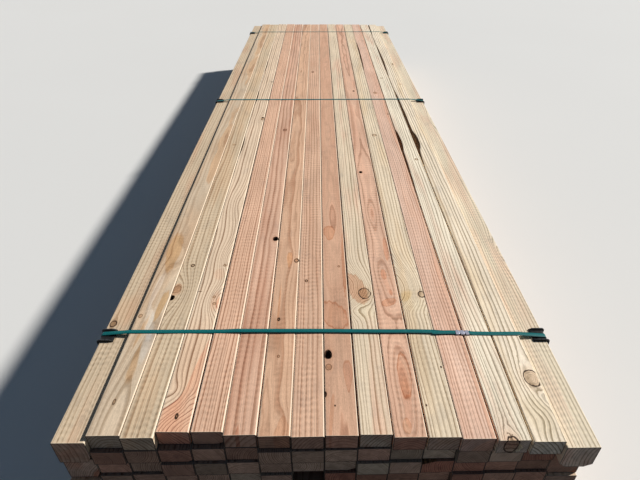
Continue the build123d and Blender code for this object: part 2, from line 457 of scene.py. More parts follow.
class TimberSurface(Surface):
    """The nodes of one timber finish, which read the values that a batten's mesh carries.

    rings is the distance from the pith, late the share of dark late wood, luck a number from 0 to 1
    for each year, thread the fine threads that run along the rings, and knots each knot with its
    nearness. PLANER_STEP is the distance between two knife marks, HEART_TURN half the stretch in
    which heart goes over to heart_far, and SAW_RADIUS how far aside the saw's arcs are centred,
    all in millimetres.
    """

    PLANER_STEP = 16.7
    HEART_TURN = 350
    SAW_RADIUS = 260.0

    def __init__(self, wood: TimberFinish) -> None:
        """Start the material with its rings.

        Args:
            wood: The finish that it builds.
        """
        super().__init__(wood.name, "timber", wood.seed)
        self.wood = wood
        self.along = self.place.split()[1]
        self.knots: list[tuple[Knot, Value]] = []
        self.rings = self.ring_field()
        years = self.rings / wood.pitch
        years = years + years.threads(0.31).spread(-0.8, 0.8) + wood.seed
        self.luck = years.maths("FLOOR").luck()
        share = years.maths("FRACT")
        self.late = share.ramp(0.42, 0.92) * share.ramp(1.0, 0.91) * self.luck.spread(0.45, 1.0)
        self.thread = self.rings.threads(0.62, 2.5)

    def build(self) -> bpy.types.Material:
        """Colour the wood and close the material.

        Returns:
            The material.
        """
        colour = self.patched(self.thread.spread(0.76, 1.24).on(self.wood_colour()))
        ripple = self.planer_ripple()
        fibre = self.grain((0.9, 38, 0.9), 1, 3.0)
        colour, dark = self.knotted(self.weathered_with_arris_highlight(colour, fibre, ripple))
        colour, end = self.sawn_end_and_shade(colour)
        colour, bark = self.barked(colour)
        rough = self.late.spread(0.62, 0.52) + end.maths("MAXIMUM", bark) * 0.26
        lumps = self.grain((3, 16, 3), 5 - self.seed) * bark
        height = self.late * 0.16 + fibre * 0.2 + ripple * 0.1 + dark * -0.5 + lumps * 3.0
        return self.finish(colour, rough, height, 0.45, Specular_IOR_Level=0.08)

    def ring_field(self) -> Value:
        """The distance from the pith, bent by drift, unevenness, knots and figures.

        Returns:
            The distance in millimetres.
        """
        wood = self.wood
        x, y, z = self.place.split()
        drift = self.grain((1, 950, 1), 2, 1.0, self.join(0.0, y, 0.0), "Color")
        drift_x, drift_z, _ = drift.split()
        across, below = (0.0, 0.0) if wood.mixed else wood.cut.value
        ragged = self.grain((11, 15, 11), 0, 3.0).spread(-0.24, 0.24)
        x = x + drift_x.spread(-across - wood.wander, -across + wood.wander)
        z = z + drift_z.spread(below - 2 * wood.wander, below + 2 * wood.wander)
        for knot in wood.knots:
            shift, near = KnotNodes().use(self, knot, ragged)
            x = x + shift
            self.knots.append((knot, near))
        rings = self.join(x, 0.0, z).vector("LENGTH")
        rings = rings + self.grain((32, 240, 32), 3).spread(-wood.waves, wood.waves)
        rings = rings + self.grain((7, 48, 7), 4).spread(-0.55, 0.55)
        for figure in wood.figures:
            offset = self.place.vector("SUBTRACT", (figure.across, figure.along, 0.0))
            share = offset.times((1 / figure.width, 1 / figure.length, 0.0))
            bell = (share.vector("DOT_PRODUCT", share) * -1.0).maths("EXPONENT")
            rings = rings + bell * figure.rise
        return rings

    def wood_colour(self) -> Value:
        """The rings' colours, in the outer and the inner wood.

        Returns:
            The colour.
        """
        wood = self.wood
        shades = []
        for base in (wood.tone, wood.inner):
            red, _, blue, _ = paint(base)
            warmth = 1 - blue / red
            shares = (1.0, 0.75 + 0.93 * warmth, 0.96 + 0.85 * warmth)
            losses = [min(0.85, 0.36 * wood.contrast * share) for share in shares]
            early = paint(base, *(1 + 0.55 * loss for loss in losses))
            dark = paint(base, *(1 - loss for loss in losses))
            shades.append(self.late.blend(early, dark))
        if wood.mixed:
            return self.attribute("tone").blend(*shades)
        turn = self.HEART_TURN
        share = self.along.ramp(wood.turn - turn, wood.turn + turn)
        radius = share.spread(wood.heart, wood.heart_far)
        uneven = self.grain((26, 190, 26), 9).spread(-3.5, 3.5)
        inner = (radius - self.rings + uneven).ramp(-1.2, 1.2)
        cloud = self.grain((48, 520, 48), 17, 3.0).ramp(0.46, 0.68) * 0.55
        return inner.maths("MAXIMUM", cloud).blend(*shades)

    def patched(self, colour: Value) -> Value:
        """The patches of another tone.

        Args:
            colour: The colour of the rings.

        Returns:
            The colour.
        """
        ragged = self.grain((8, 34, 8), 18, 3.0).spread(-0.3, 0.3)
        for patch in self.wood.patches:
            x, y, _ = self.place.vector("SUBTRACT", (patch.across, patch.along, 0.0)).split()
            share = y / patch.length
            x = share.maths("MULTIPLY_ADD", -patch.lean, x)
            width = share.spread(patch.width, patch.width * (1 + patch.taper)).maths("MAXIMUM", 1.0)
            near = self.join(x / width, share, 0.0).vector("LENGTH") + ragged
            inside = near.ramp(1.0 + patch.soft, 1.0 - patch.soft)
            colour = inside.blend(colour, colour.times(patch.tint))
            if patch.edge:
                line = abs(near - 1.0).ramp(0.13, 0.03) * patch.edge
                colour = line.blend(colour, colour.times((0.74, 0.56, 0.46)))
        return colour

    def planer_ripple(self) -> Value:
        """The cross marks of the planer's knives, which break the hard late wood into dashes.

        Returns:
            A wave between -1 and 1, whose dashes are set apart from year to year.
        """
        stray = self.grain((14, 75, 14), 5).spread(-8.0, 8.0)
        turns = (self.along + stray + self.luck * 5.0) * (2 * math.pi / self.PLANER_STEP)
        patch = self.grain((24, 90, 24), 6, 3.0).ramp(0.34, 0.62)
        return turns.maths("SINE") * patch * self.late.spread(0.28, 0.9)

    def weathered_with_arris_highlight(self, colour: Value, fibre: Value, ripple: Value) -> Value:
        """Fibres, ripple, slow changes of tone, resin specks, handling marks and painted arris
        highlights.

        Args:
            colour: The colour of the rings.
            fibre: The fibre noise.
            ripple: The planer's ripple.

        Returns:
            The colour.
        """
        light = fibre.spread(0.89, 1.17)
        for size, number, detail, depth in (
            ((0.35, 9, 0.35), 7, 2.0, 0.10), ((3.6, 190, 3.6), 19, 3.0, 0.20),
            ((1.5, 4.6, 1.5), 20, 3.0, 0.28), ((60, 260, 60), 8, 4.0, 0.24),
        ):
            light = light + self.grain(size, number, detail).spread(-depth, depth)
        colour = (light + ripple * (0.34 * self.wood.ripple)).on(colour)
        # painted highlight: every rounded arris is blended towards pale cream, as where an arris
        # catches the light
        colour = (self.attribute("arris") * 0.72).blend(colour, paint((243, 228, 206)))
        resin = self.grain((1.5, 11, 1.5), 10, 1.0).ramp(0.74, 0.80) * 0.55
        colour = resin.blend(colour, colour.times((0.62, 0.48, 0.38)))
        grime = self.grain((45, 85, 45), 11, 5.0).ramp(0.56, 0.74)
        return grime.blend(colour, colour.times((0.88, 0.89, 0.91)))

    def knotted(self, colour: Value) -> tuple[Value, Feed]:
        """The knots' own wood, rims and the stain round them, with painted shade in the open holes.

        Args:
            colour: The colour of the wood round them.

        Returns:
            The colour, and how dark and deep each place is.
        """
        dark: Feed = 0.0
        for look in KnotLook:
            near: Feed = 9.0
            gap: Feed = 99.0
            for knot, distance in self.knots:
                if knot.look is look:
                    near = distance.maths("MINIMUM", near)
                    gap = (abs(distance - 1.0) * knot.radius).maths("MINIMUM", gap)
            if isinstance(near, float):
                continue
            stain = near.ramp(2.3, 0.9) * 0.45
            colour = stain.blend(colour, colour.times((0.94, 0.82, 0.72)))
            turns = (near * 24.0).maths("SINE").spread(0.80, 0.97)
            shade = turns + self.grain((2.2, 3, 2.2), 15, 4.0).spread(-0.4, 0.4)
            inside = near.ramp(1.04, 0.94) * 0.85
            colour = inside.blend(colour, shade.on(colour).times((0.93, 0.84, 0.75)))
            widest, strength = (3.6, 1.7) if look is KnotLook.RINGED else (2.0, 0.9)
            thick = self.grain((12, 16, 12), 16).spread(0.5, widest)
            rim = (gap / thick).maths("MULTIPLY_ADD", -1.0, 1.0, clamp=True)
            rim = rim.maths("MULTIPLY", strength, clamp=True)
            colour = rim.blend(colour, (0.045, 0.024, 0.014, 1.0))
            dark = (rim * 0.6).maths("MAXIMUM", dark)
            if look is KnotLook.OPEN:
                # painted shade: an open knot's middle is painted near black, as the shaded hollow
                # of a hole
                hole_shade = near.ramp(1.06, 0.84)
                crumbs = self.grain((5, 7, 5), 21).ramp(0.5, 0.62)
                hole_shade_tones = crumbs.blend((0.014, 0.008, 0.006, 1.0), (0.085, 0.040, 0.022, 1.0))
                colour = hole_shade.blend(colour, hole_shade_tones)
                dark = hole_shade.maths("MAXIMUM", dark)
        return colour, dark

    def sawn_end_and_shade(self, colour: Value) -> tuple[Value, Value]:
        """The rough sawn ends, darker and greyer than the faces, partly as end grain is and partly
        as painted shade.

        Args:
            colour: The colour of the faces.

        Returns:
            The colour, and 1 on an end.
        """
        normal = self.read("NewGeometry", output="True Normal")
        end = abs(normal.split()[1]).ramp(0.6, 0.8)
        x, y, z = self.place.split()
        arcs = self.join(x + self.SAW_RADIUS, 0.0, z).vector("LENGTH") + self.seed * 40
        blots = self.grain((16, 900, 16), 12, 4.0).spread(-0.44, 0.44)
        light = arcs.threads(0.9).spread(0.86, 1.14) + blots + self.late * -0.15
        piece = y.maths("MULTIPLY_ADD", 0.005, self.seed + 0.5).maths("FLOOR")
        # the end tints are partly the end grain's own duller tone and partly painted shade, as the
        # near ends stand in shade
        tint = piece.luck().blend((0.54, 0.45, 0.48, 1.0), (0.49, 0.51, 0.55, 1.0))
        light = light * piece.luck("Color").split()[1].spread(0.72, 1.30)
        # painted shade: each end darkens to 0.12 of its brightness at its rounded rim, in the seams
        # between the ends
        light = light * self.attribute("arris").ramp(0.05, 0.60).spread(1.0, 0.12)
        sawn = light.on(colour.times(tint))
        # painted shade: the hidden battens darken within about 58 mm of their ends, where the layer
        # above shades their ledges
        if self.wood.mixed:
            dust_and_shade = self.attribute("inset").ramp(0.058, 0.020)
            colour = dust_and_shade.blend(colour, colour.times((0.24, 0.26, 0.30)))
        return end.blend(colour, sawn), end

    def barked(self, colour: Value) -> tuple[Value, Value]:
        """The bark side left on wane.

        Args:
            colour: The colour of the wood.

        Returns:
            The colour, and 1 on bark.
        """
        edge = self.grain((5, 18, 5), 13, 4.0).spread(-0.3, 0.3)
        bark = (self.attribute("bark") + edge).ramp(0.45, 0.62)
        lumps = self.grain((3, 22, 3), 14, 5.0).ramp(0.35, 0.68)
        shade = lumps.blend((0.052, 0.030, 0.019, 1.0), (0.255, 0.140, 0.072, 1.0))
        return bark.blend(colour, shade), bark


@dataclass(frozen=True)
class BandFinish:
    """Teal polyester strapping with a fine pressed waffle, darker towards both edges."""

    name: str = "teal strapping"
    colour: Colour = (4.0, 101.0, 103.0)
    waffle: float = 1.7
    dark_edge_start: float = 4.6

    def material(self) -> bpy.types.Material:
        """Build the finish, which reads the mesh's band value: across and along in metres.

        Returns:
            The material.
        """
        surface = Surface(self.name)
        across, along, _ = surface.place.split()
        turn = 2 * math.pi / self.waffle
        waffle = ((across + along) * turn).maths("SINE") * ((across - along) * turn).maths("SINE")
        waffle = waffle.spread(0.5, 1.0)
        wear = surface.grain((4, 60, 4), 3, 4.0)
        scuff = surface.grain((0.8, 30, 0.8), 8, 3.0).ramp(0.62, 0.72)
        # both edges of the strap are darker, down to 0.42 of the middle's brightness
        edge_darkening = abs(across).ramp(self.dark_edge_start, self.dark_edge_start + 1.2).spread(1.0, 0.42)
        light = (wear.spread(0.80, 1.20) + waffle.spread(-0.16, 0.10)) * edge_darkening
        colour = (scuff * 0.35).blend(light.on(paint(self.colour)), (0.10, 0.34, 0.31, 1.0))
        rough = wear.spread(0.40, 0.56)
        return surface.finish(colour, rough, waffle, 0.12, Specular_IOR_Level=0.12)


@dataclass(frozen=True)
class ZincFinish:
    """Bright zinc sheet with spangle, scratches, dull edges and painted shade in the crimps."""

    name: str = "zinc sheet"
    colour: Colour = (156.0, 158.0, 174.0)

    def material(self) -> bpy.types.Material:
        """Build the finish, which reads the mesh's band value.

        Returns:
            The material.
        """
        surface = Surface(self.name)
        across, along, _ = surface.place.split()
        cells = surface.read("TexVoronoi", {"Vector": surface.place, "Scale": 0.42}, "Color")
        spangle = cells.split()[0]
        scratch = surface.grain((0.4, 14, 0.4), 2, 3.0)
        dull = surface.grain((6, 9, 6), 6, 4.0)
        light = spangle.spread(0.84, 1.05) + scratch.spread(-0.14, 0.14) + dull.spread(-0.16, 0.16)
        # painted shade: the seal darkens to 0.16 in the folds that the crimper pressed in
        crimp_shade = abs(abs(along) - 6.0).ramp(2.6, 1.2) * abs(across).ramp(2.6, 4.6)
        colour = (light * crimp_shade.spread(1.0, 0.16)).on(paint(self.colour))
        rough = dull.spread(0.26, 0.46) + spangle.spread(-0.05, 0.05)
        return surface.finish(colour, rough, scratch, 0.05, Metallic=0.6)


@dataclass(frozen=True)
class MouldedFinish:
    """Black moulded plastic with a fine spark grain, dust, and scuffed rims with a painted
    highlight.
    """

    name: str = "black moulded plastic"
    colour: Colour = (19.0, 20.0, 22.0)

    def material(self) -> bpy.types.Material:
        """Build the finish, which reads the mesh's band value.

        Returns:
            The material.
        """
        surface = Surface(self.name)
        spark = surface.grain((0.5, 0.5, 0.5), 1, 3.0)
        # here the pale specks are the plastic's real dust
        dust_and_shade = surface.grain((7, 7, 7), 4, 5.0).ramp(0.42, 0.72)
        scrape = surface.grain((1.2, 9, 1.2), 9, 3.0).ramp(0.38, 0.62)
        # the rim tops are paler grey, partly as scuffed plastic and partly as a painted highlight
        scuff_and_highlight = surface.attribute("rub").ramp(0.35, 1.0) * scrape
        colour = spark.spread(0.8, 1.2).on(paint(self.colour))
        colour = (dust_and_shade * 0.05).blend(colour, (0.30, 0.29, 0.27, 1.0))
        colour = (scuff_and_highlight * 0.5).blend(colour, (0.17, 0.18, 0.19, 1.0))
        rough = dust_and_shade.spread(0.36, 0.60) + scuff_and_highlight * -0.06
        return surface.finish(colour, rough, spark, 0.06, Specular_IOR_Level=0.12)


def placed(name: str, data: bpy.types.ID) -> bpy.types.Object:
    """Make an object and link it into the scene.

    Args:
        name: Its name.
        data: Its mesh, lamp or camera.

    Returns:
        The object.
    """
    made = bpy.data.objects.new(name, data)
    bpy.context.scene.collection.objects.link(made)
    return made


@dataclass
class Shell:
    """The points, faces, map and carried values of one piece while it is drawn.

    Points are in millimetres in the frame. Each face has one map place per corner. A cell is a
    place on the map: its left and lower edge, its width and its height.
    """

    points: list[Vector] = field(default_factory=list)
    faces: list[tuple[int, ...]] = field(default_factory=list)
    maps: list[Line] = field(default_factory=list)
    sharp: set[frozenset[int]] = field(default_factory=set)
    flat: set[int] = field(default_factory=set)
    vectors: dict[str, list[Vector]] = field(default_factory=dict)
    numbers: dict[str, list[float]] = field(default_factory=dict)

    def point(self, place: Sequence[float], **values: Union[Vector, float]) -> int:
        """Add one point and what it carries.

        Args:
            place: Its place in millimetres.
            **values: Vectors and numbers kept on the mesh under these names.

        Returns:
            Its number.
        """
        self.points.append(Vector(place))
        for name, value in values.items():
            store = self.vectors if isinstance(value, Vector) else self.numbers
            store.setdefault(name, []).append(value)
        return len(self.points) - 1

    def face(self, corners: Sequence[int], places: Sequence[Line], flat: bool = False) -> None:
        """Add one face with its corners' places on the map.

        Args:
            corners: The numbers of its points.
            places: Each corner's place on the map.
            flat: True where it isn't shaded smooth.
        """
        if flat:
            self.flat.add(len(self.faces))
        self.faces.append(tuple(corners))
        self.maps.extend(places)

    def crease(self, ring: Sequence[int]) -> None:
        """Make the edges of a closed ring of points sharp."""
        self.sharp |= {frozenset((ring[n - 1], here)) for n, here in enumerate(ring)}

    def skin(self, rows: Sequence[Sequence[int]], cell: Cell) -> None:
        """Join rings of points into a surface.

        Args:
            rows: The rings, each with the same number of points.
            cell: Its place on the map.
        """
        left, low, width, height = cell
        count, spans = len(rows[0]), len(rows) - 1
        for r, (here, there) in enumerate(zip(rows, rows[1:])):
            start, end = left + width * r / spans, left + width * (r + 1) / spans
            for k in range(count):
                after = (k + 1) % count
                bottom, top = low + height * k / count, low + height * (k + 1) / count
                self.face(
                    (here[k], here[after], there[after], there[k]),
                    ((start, bottom), (start, top), (end, top), (end, bottom)),
                )

    def lid(self, ring: Sequence[int], cell: Cell, turned: bool) -> None:
        """Close the end of a surface with one flat face.

        Args:
            ring: The end's points.
            cell: Its place on the map.
            turned: True at the surface's last ring.
        """
        left, low, width, height = cell
        turns = [2 * math.pi * k / len(ring) for k in range(len(ring))]
        places = [
            (left + width * (0.5 + 0.5 * math.cos(t)), low + height * (0.5 + 0.5 * math.sin(t)))
            for t in turns
        ]
        way = 1 if turned else -1
        self.face(ring[::way], places[::way], flat=True)
        self.crease(ring)

    def piece(
        self, node: str, ending: str, finish: bpy.types.Material, slot: str
    ) -> bpy.types.Object:
        """Turn the drawing into a Blender object that takes the place of its CAD node.

        Args:
            node: The CAD node that it stands for.
            ending: What its name has after the node's.
            finish: Its material.
            slot: A material slot name; not used.

        Returns:
            The object, linked into the scene.
        """
        mesh = bpy.data.meshes.new(f"{node}_{ending}")
        mesh.from_pydata([p * MM for p in self.points], [], self.faces)
        layer = mesh.uv_layers.new(name="OFBake")
        layer.data.foreach_set("uv", [c for place in self.maps for c in place])
        smooth = [n not in self.flat for n in range(len(self.faces))]
        mesh.polygons.foreach_set("use_smooth", smooth)
        for edge in mesh.edges:
            edge.use_edge_sharp = frozenset(edge.vertices) in self.sharp
        for title, values in self.vectors.items():
            store = mesh.attributes.new(title, "FLOAT_VECTOR", "POINT")
            store.data.foreach_set("vector", [c for v in values for c in v])
        for title, values in self.numbers.items():
            store = mesh.attributes.new(title, "FLOAT", "POINT")
            store.data.foreach_set("value", values)
        mesh.materials.append(finish)
        mesh.update()
        piece = placed(mesh.name, mesh)
        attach(piece, "root")
        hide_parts(node)
        log.info("%s: %d faces for %s", piece.name, len(mesh.polygons), node)
        return piece


@dataclass(frozen=True)
class Wane:
    """A stretch of arris where bark side is left.

    side is -1 for the left arris and 1 for the right one, level 1 for top and -1 for bottom. place
    is its middle from the near end, width its reach over the wide face and depth down the edge.
    """

    side: int
    level: int
    place: float
    length: float
    width: float
    depth: float


@dataclass(frozen=True)
class Chart:
    """Where a batten's faces lie on its texture map, which is one unit wide and high.

    The long faces are cut into strips of equal length, one above the other from low up, and each
    end has a cell.
    """

    strips: int
    low: float
    height: float
    pitch: float
    near: Cell
    far: Cell

    def along(self, share: float, strip: int, around: float) -> Line:
        """The map place of a point on a long face.

        Args:
            share: How far along the batten it is, from 0 to 1.
            strip: The strip that its face is in.
            around: How far round the section it is, from 0 to 1.

        Returns:
            Its place on the map.
        """
        across = share * self.strips - strip
        return 0.004 + 0.992 * across, self.low + strip * self.pitch + self.height * around


LONE_CHART = Chart(4, 0.004, 0.212, 0.220, (0.01, 0.892, 0.17, 0.1), (0.2, 0.892, 0.17, 0.1))


def spaced(low: float, high: float, step: float, fine: Sequence[tuple]) -> list[float]:
    """Grid lines from low to high.

    Args:
        low: The first line.
        high: The last line.
        step: How far apart they are at most.
        fine: Stretches with closer lines, as their start, end and step.

    Returns:
        The lines in order, none much closer than the finest step.
    """
    count = max(1, round((high - low) / step))
    lines = [low + (high - low) * n / count for n in range(count + 1)]
    gap = min([step, *(small for _, _, small in fine)])
    for start, end, small in fine:
        start, end = max(low, start), min(high, end)
        if end > start:
            parts = max(1, round((end - start) / small))
            lines = [v for v in lines if not start < v < end]
            lines += [start + (end - start) * n / parts for n in range(parts + 1)]
    kept = [low]
    for value in sorted(lines):
        if value - kept[-1] > 0.4 * gap and high - value > 0.4 * gap:
            kept.append(value)
    return kept + [high]


@dataclass
class Batten:
    """One planed batten, with rounded arrises, wane, knot holes and sawn ends.

    x and z are the middle of its section and near its near end. tilt lowers its left edge, or its
    right one where it is negative, skew is how far out of square its near end is sawn, and shrunk
    is how far its left side stands back, which opens the joint there. void is the outline of a gap
    in the near end. step and the steps after it are how far apart the mesh's lines lie.
    """

    x: float
    z: float
    near: float
    width: float = 70.0
    thickness: float = 45.0
    length: float = 4000.0
    arris: float = 2.2
    tilt: float = 0.0
    skew: float = 0.5
    shrunk: float = 0.0
    wanes: tuple[Wane, ...] = ()
    holes: tuple[Knot, ...] = ()
    void: tuple[Line, ...] = ()
    void_reach: float = 30.0
    seed: float = 0.0
    pith: Line = (0.0, 0.0)
    tone: float = 0.0
    step: float = 125.0
    face_step: float = 13.0
    edge_step: float = 0.9
    hole_step: float = 1.3
    wane_step: float = 2.0
    end_step: float = 1.2

    def lines(self, half: float, fine: Sequence[tuple]) -> list[float]:
        """The lengthwise grid lines of a face between its arrises, closest beside them.

        Args:
            half: Half the face's width.
            fine: Stretches with closer lines, as their start, end and step.

        Returns:
            Their places from the face's middle.
        """
        inner, edge = half - self.arris, self.edge_step
        sides = [(-inner, edge - inner, edge), (inner - edge, inner, edge)]
        return spaced(-inner, inner, self.face_step, [*fine, *sides])

    def across_lines(self) -> list[float]:
        """The lengthwise grid lines of the wide faces.

        Returns:
            Their places across.
        """
        half = self.width / 2
        fine = [
            (k.across - 1.5 * k.radius, k.across + 1.5 * k.radius, self.hole_step)
            for k in self.holes
        ]
        for wane in self.wanes:
            reach = wane.width + 4
            edges = (half - reach, half) if wane.side > 0 else (-half, reach - half)
            fine.append((*edges, self.wane_step))
        if self.void:
            xs = [x for x, _ in self.void]
            fine.append((min(xs) - 3, max(xs) + 3, self.hole_step))
        return self.lines(half, fine)

    def upright_lines(self) -> list[float]:
        """The lengthwise grid lines of the edges.

        Returns:
            Their heights.
        """
        half = self.thickness / 2
        fine = []
        for wane in self.wanes:
            reach = wane.depth + 3
            edges = (half - reach, half) if wane.level > 0 else (-half, reach - half)
            fine.append((*edges, self.wane_step))
        if self.void:
            fine.append((half + min(z for _, z in self.void) - 3, half, self.hole_step))
        return self.lines(half, fine)

    def stations(self) -> list[float]:
        """The places of the sections along the batten, with one at each end of a map strip.

        Returns:
            Their places from the near end.
        """
        end, length = self.end_step, self.length
        fine = [(end, 60.0, 60.0), (length - 60.0, length - end, 60.0)]
        for hole in self.holes:
            reach = 1.5 * hole.radius * hole.stretch
            fine.append((hole.along - reach, hole.along + reach, 1.5))
        for wane in self.wanes:
            fine.append((wane.place - wane.length / 2, wane.place + wane.length / 2, 22.0))
        if self.void:
            fine.append((0.0, 6.0, 2.0))
        fine += [(0.0, end, end), (length - end, length, end)]
        quarter = length / LONE_CHART.strips
        places = [0.0]
        for part in range(LONE_CHART.strips):
            start = part * quarter
            inside = [f for f in fine if f[1] > start and f[0] < start + quarter]
            places += spaced(start, start + quarter, self.step, inside)[1:]
        return places

    def section(self, xs: Sequence[float], zs: Sequence[float]) -> tuple[list[Line], list[int]]:
        """The outline of the batten, clockwise as its near end shows it.

        Args:
            xs: The grid lines of the wide faces.
            zs: The grid lines of the edges.

        Returns:
            The outline's points, and where its eight runs start: top, turn, right and so on.
        """
        half_x, half_z = self.width / 2, self.thickness / 2
        runs = (
            ([(x, half_z) for x in xs], 1, 1, 90.0),
            ([(half_x, z) for z in reversed(zs)], 1, -1, 0.0),
            ([(x, -half_z) for x in reversed(xs)], -1, -1, -90.0),
            ([(-half_x, z) for z in zs], -1, 1, -180.0),
        )
        outline, starts = [], []
        for run, side, level, angle in runs:
            starts += [len(outline), len(outline) + len(run)]
            outline += run
            middle = side * (half_x - self.arris), level * (half_z - self.arris)
            outline += arc(*middle, self.arris, [angle - 22.5 * step for step in (1, 2, 3)])
        return outline, starts

    def hole_depth(self, x: float, y: float) -> float:
        """How deep a knot hole is below the top face.

        Args:
            x: The place across, from the middle.
            y: The place along, from the near end.

        Returns:
            The depth.
        """
        depth = 0.0
        for hole in self.holes:
            across = (x - hole.across) / hole.radius
            along = (y - hole.along) / (hole.radius * hole.stretch)
            rim = 0.92 + 0.14 * wobble(math.atan2(along, across) * 1.6, self.seed)
            near = math.hypot(across, along) / rim
            depth = max(depth, 1.6 * hole.radius * (1 - eased(0.62, 1.0, near)))
        return depth

    def void_depth(self, x: float, z: float) -> float:
        """How far the gap beside an end knot goes in from the near end.

        Args:
            x: The place across, from the middle.
            z: The height, from the middle.

        Returns:
            The depth.
        """
        inside = False
        nearest = 99.0
        drop = z - self.thickness / 2
        for (ax, az), (bx, bz) in zip(self.void, self.void[1:] + self.void[:1]):
            if (az > drop) != (bz > drop) and x < ax + (bx - ax) * (drop - az) / (bz - az):
                inside = not inside
            run_x, run_z = bx - ax, bz - az
            share = ((x - ax) * run_x + (drop - az) * run_z) / (run_x**2 + run_z**2)
            share = min(1.0, max(0.0, share))
            nearest = min(nearest, math.hypot(x - ax - share * run_x, drop - az - share * run_z))
        return self.void_reach * eased(0.0, 2.2, nearest) if inside else 0.0

    def shaped(self, x: float, y: float, z: float) -> tuple[Vector, float]:
        """Where a point of the square batten ends up.

        Args:
            x: Its place across, from the middle.
            y: Its place along, from the near end.
            z: Its height, from the middle.

        Returns:
            Its place in the batten, and how much bark is there.
        """
        bark = 0.0
        px, pz = x, z
        for wane in self.wanes:
            share = (y - wane.place) / (wane.length / 2)
            if abs(share) >= 1:
                continue
            rough = 1 + 0.16 * wobble(y / 60, wane.place, self.seed) + 0.06 * wobble(y / 14, x / 9)
            width = wane.width * (1 - share * share) * rough
            depth = wane.depth * (1 - share * share) * rough
            if min(width, depth) < 0.3:
                continue
            a = self.width / 2 - px * wane.side
            b = self.thickness / 2 - pz * wane.level
            short = 1 - a / width - b / depth
            if short > 0:
                move = short / (1 / width**2 + 1 / depth**2)
                px -= wane.side * move / width
                pz -= wane.level * move / depth
                bark = max(bark, eased(0.0, 0.8, short * min(width, depth) / 2))
        rise = (pz + self.thickness / 2) / self.thickness
        lean = 0.5 - math.copysign(1, self.tilt) * px / self.width
        pz -= abs(self.tilt) * lean * rise
        if z > self.thickness / 2 - self.arris * 0.9:
            pz -= self.hole_depth(x, y)
        square = self.skew * (0.5 + x / self.width)
        py = y + square * (1 - eased(0.0, 400.0, y))
        px += self.shrunk * (0.5 - px / self.width)
        return Vector((px, py, pz)), bark

    def add_point(self, shell: Shell, x: float, y: float, z: float, push: float = 0.0) -> int:
        """Add one point of the batten with its timber place, bark, tone, arris and inset.

        Args:
            shell: The piece that it belongs to.
            x: Its place across, from the middle.
            y: Its place along, from the near end.
            z: Its height, from the middle.
            push: How far it is moved in.

        Returns:
            Its number.
        """
        shaped, bark = self.shaped(x, y, z)
        over_x = abs(x) - self.width / 2 + self.arris
        over_z = abs(z) - self.thickness / 2 + self.arris
        on_arris = min(1.0, 3 * max(0.0, min(over_x, over_z)) / self.arris)
        # on an end the rim also counts as arris, which the end's finish darkens as painted shade in
        # the seams
        if y in (0.0, self.length):
            on_arris = max(on_arris, min(1.0, max(over_x, over_z, 0.0) / self.arris))
        grain = Vector((x - self.pith[0], y + 1000 * self.seed, z - self.pith[1])) * MM
        grain.y += push * MM
        place = (self.x + shaped.x, self.near + shaped.y + push, self.z + shaped.z)
        # the distance from the nearer end, by which the hidden layers' finish paints shade near the
        # ends
        inset = min(y, self.length - y) * MM
        return shell.point(
            place, timber=grain, bark=bark, tone=self.tone, arris=on_arris, inset=inset
        )

    def draw(self, shell: Shell, chart: Chart = LONE_CHART) -> None:
        """Draw the whole batten.

        Args:
            shell: The piece that it belongs to.
            chart: Where its faces lie on the map.
        """
        xs, zs = self.across_lines(), self.upright_lines()
        outline, starts = self.section(xs, zs)
        stations = self.stations()
        around = [0.0]
        for here, there in zip(outline, outline[1:] + outline[:1]):
            around.append(around[-1] + math.dist(here, there))
        around = [a / around[-1] for a in around]
        rows = [[self.add_point(shell, x, y, z) for x, z in outline] for y in stations]
        for near, far, y, far_y in zip(rows, rows[1:], stations, stations[1:]):
            strip = int((y + far_y) / 2 / self.length * chart.strips)
            start, end = y / self.length, far_y / self.length
            for k in range(len(outline)):
                after = (k + 1) % len(outline)
                ends = ((start, k), (start, k + 1), (end, k + 1), (end, k))
                shell.face(
                    (near[k], near[after], far[after], far[k]),
                    [chart.along(share, strip, around[n]) for share, n in ends],
                )
        for far in (False, True):
            self.draw_end(shell, rows[-1 if far else 0], (xs, zs, outline, starts), chart, far)

    def draw_end(
        self, shell: Shell, rim: Sequence[int], layout: tuple, chart: Chart, far: bool
    ) -> None:
        """Close one end with a grid of faces.

        Args:
            shell: The piece that it belongs to.
            rim: The numbers of the end's outline points.
            layout: The grid lines across and up, the outline and its runs' starts.
            chart: Where the end lies on the map.
            far: True for the far end.
        """
        xs, zs, outline, starts = layout
        y = self.length if far else 0.0
        spots = dict(zip(rim, outline))
        grid: list[list[int]] = []
        for x in xs:
            grid.append([])
            for z in zs:
                number = self.add_point(shell, x, y, z, 0.0 if far else self.void_depth(x, z))
                spots[number] = (x, z)
                grid[-1].append(number)
        top, right, bottom, left = (
            rim[start : start + count] for start, count in zip(starts[::2], (len(xs), len(zs)) * 2)
        )
        columns = [[None, *left, None]]
        columns += [[low, *run, high] for low, run, high in zip(bottom[::-1], grid, top)]
        columns.append([None, *right[::-1], None])
        faces = []
        for here, there in zip(columns, columns[1:]):
            cells = zip(here, there, there[1:], here[1:])
            faces += [face for face in cells if None not in face]
        inner = (grid[-1][-1], grid[-1][0], grid[0][0], grid[0][-1])
        for start, middle in zip(starts[1::2], inner):
            turn = [rim[(start + n) % len(rim)] for n in (3, 2, 1, 0, -1)]
            faces.append((middle, *turn))
        left_edge, low_edge, wide, high = chart.far if far else chart.near
        for face in faces:
            corners = face[::-1] if far else face
            places = [
                (
                    left_edge + wide * (spots[n][0] / self.width + 0.5),
                    low_edge + high * (spots[n][1] / self.thickness + 0.5),
                )
                for n in corners
            ]
            shell.face(corners, places, flat=True)
        shell.crease(rim)


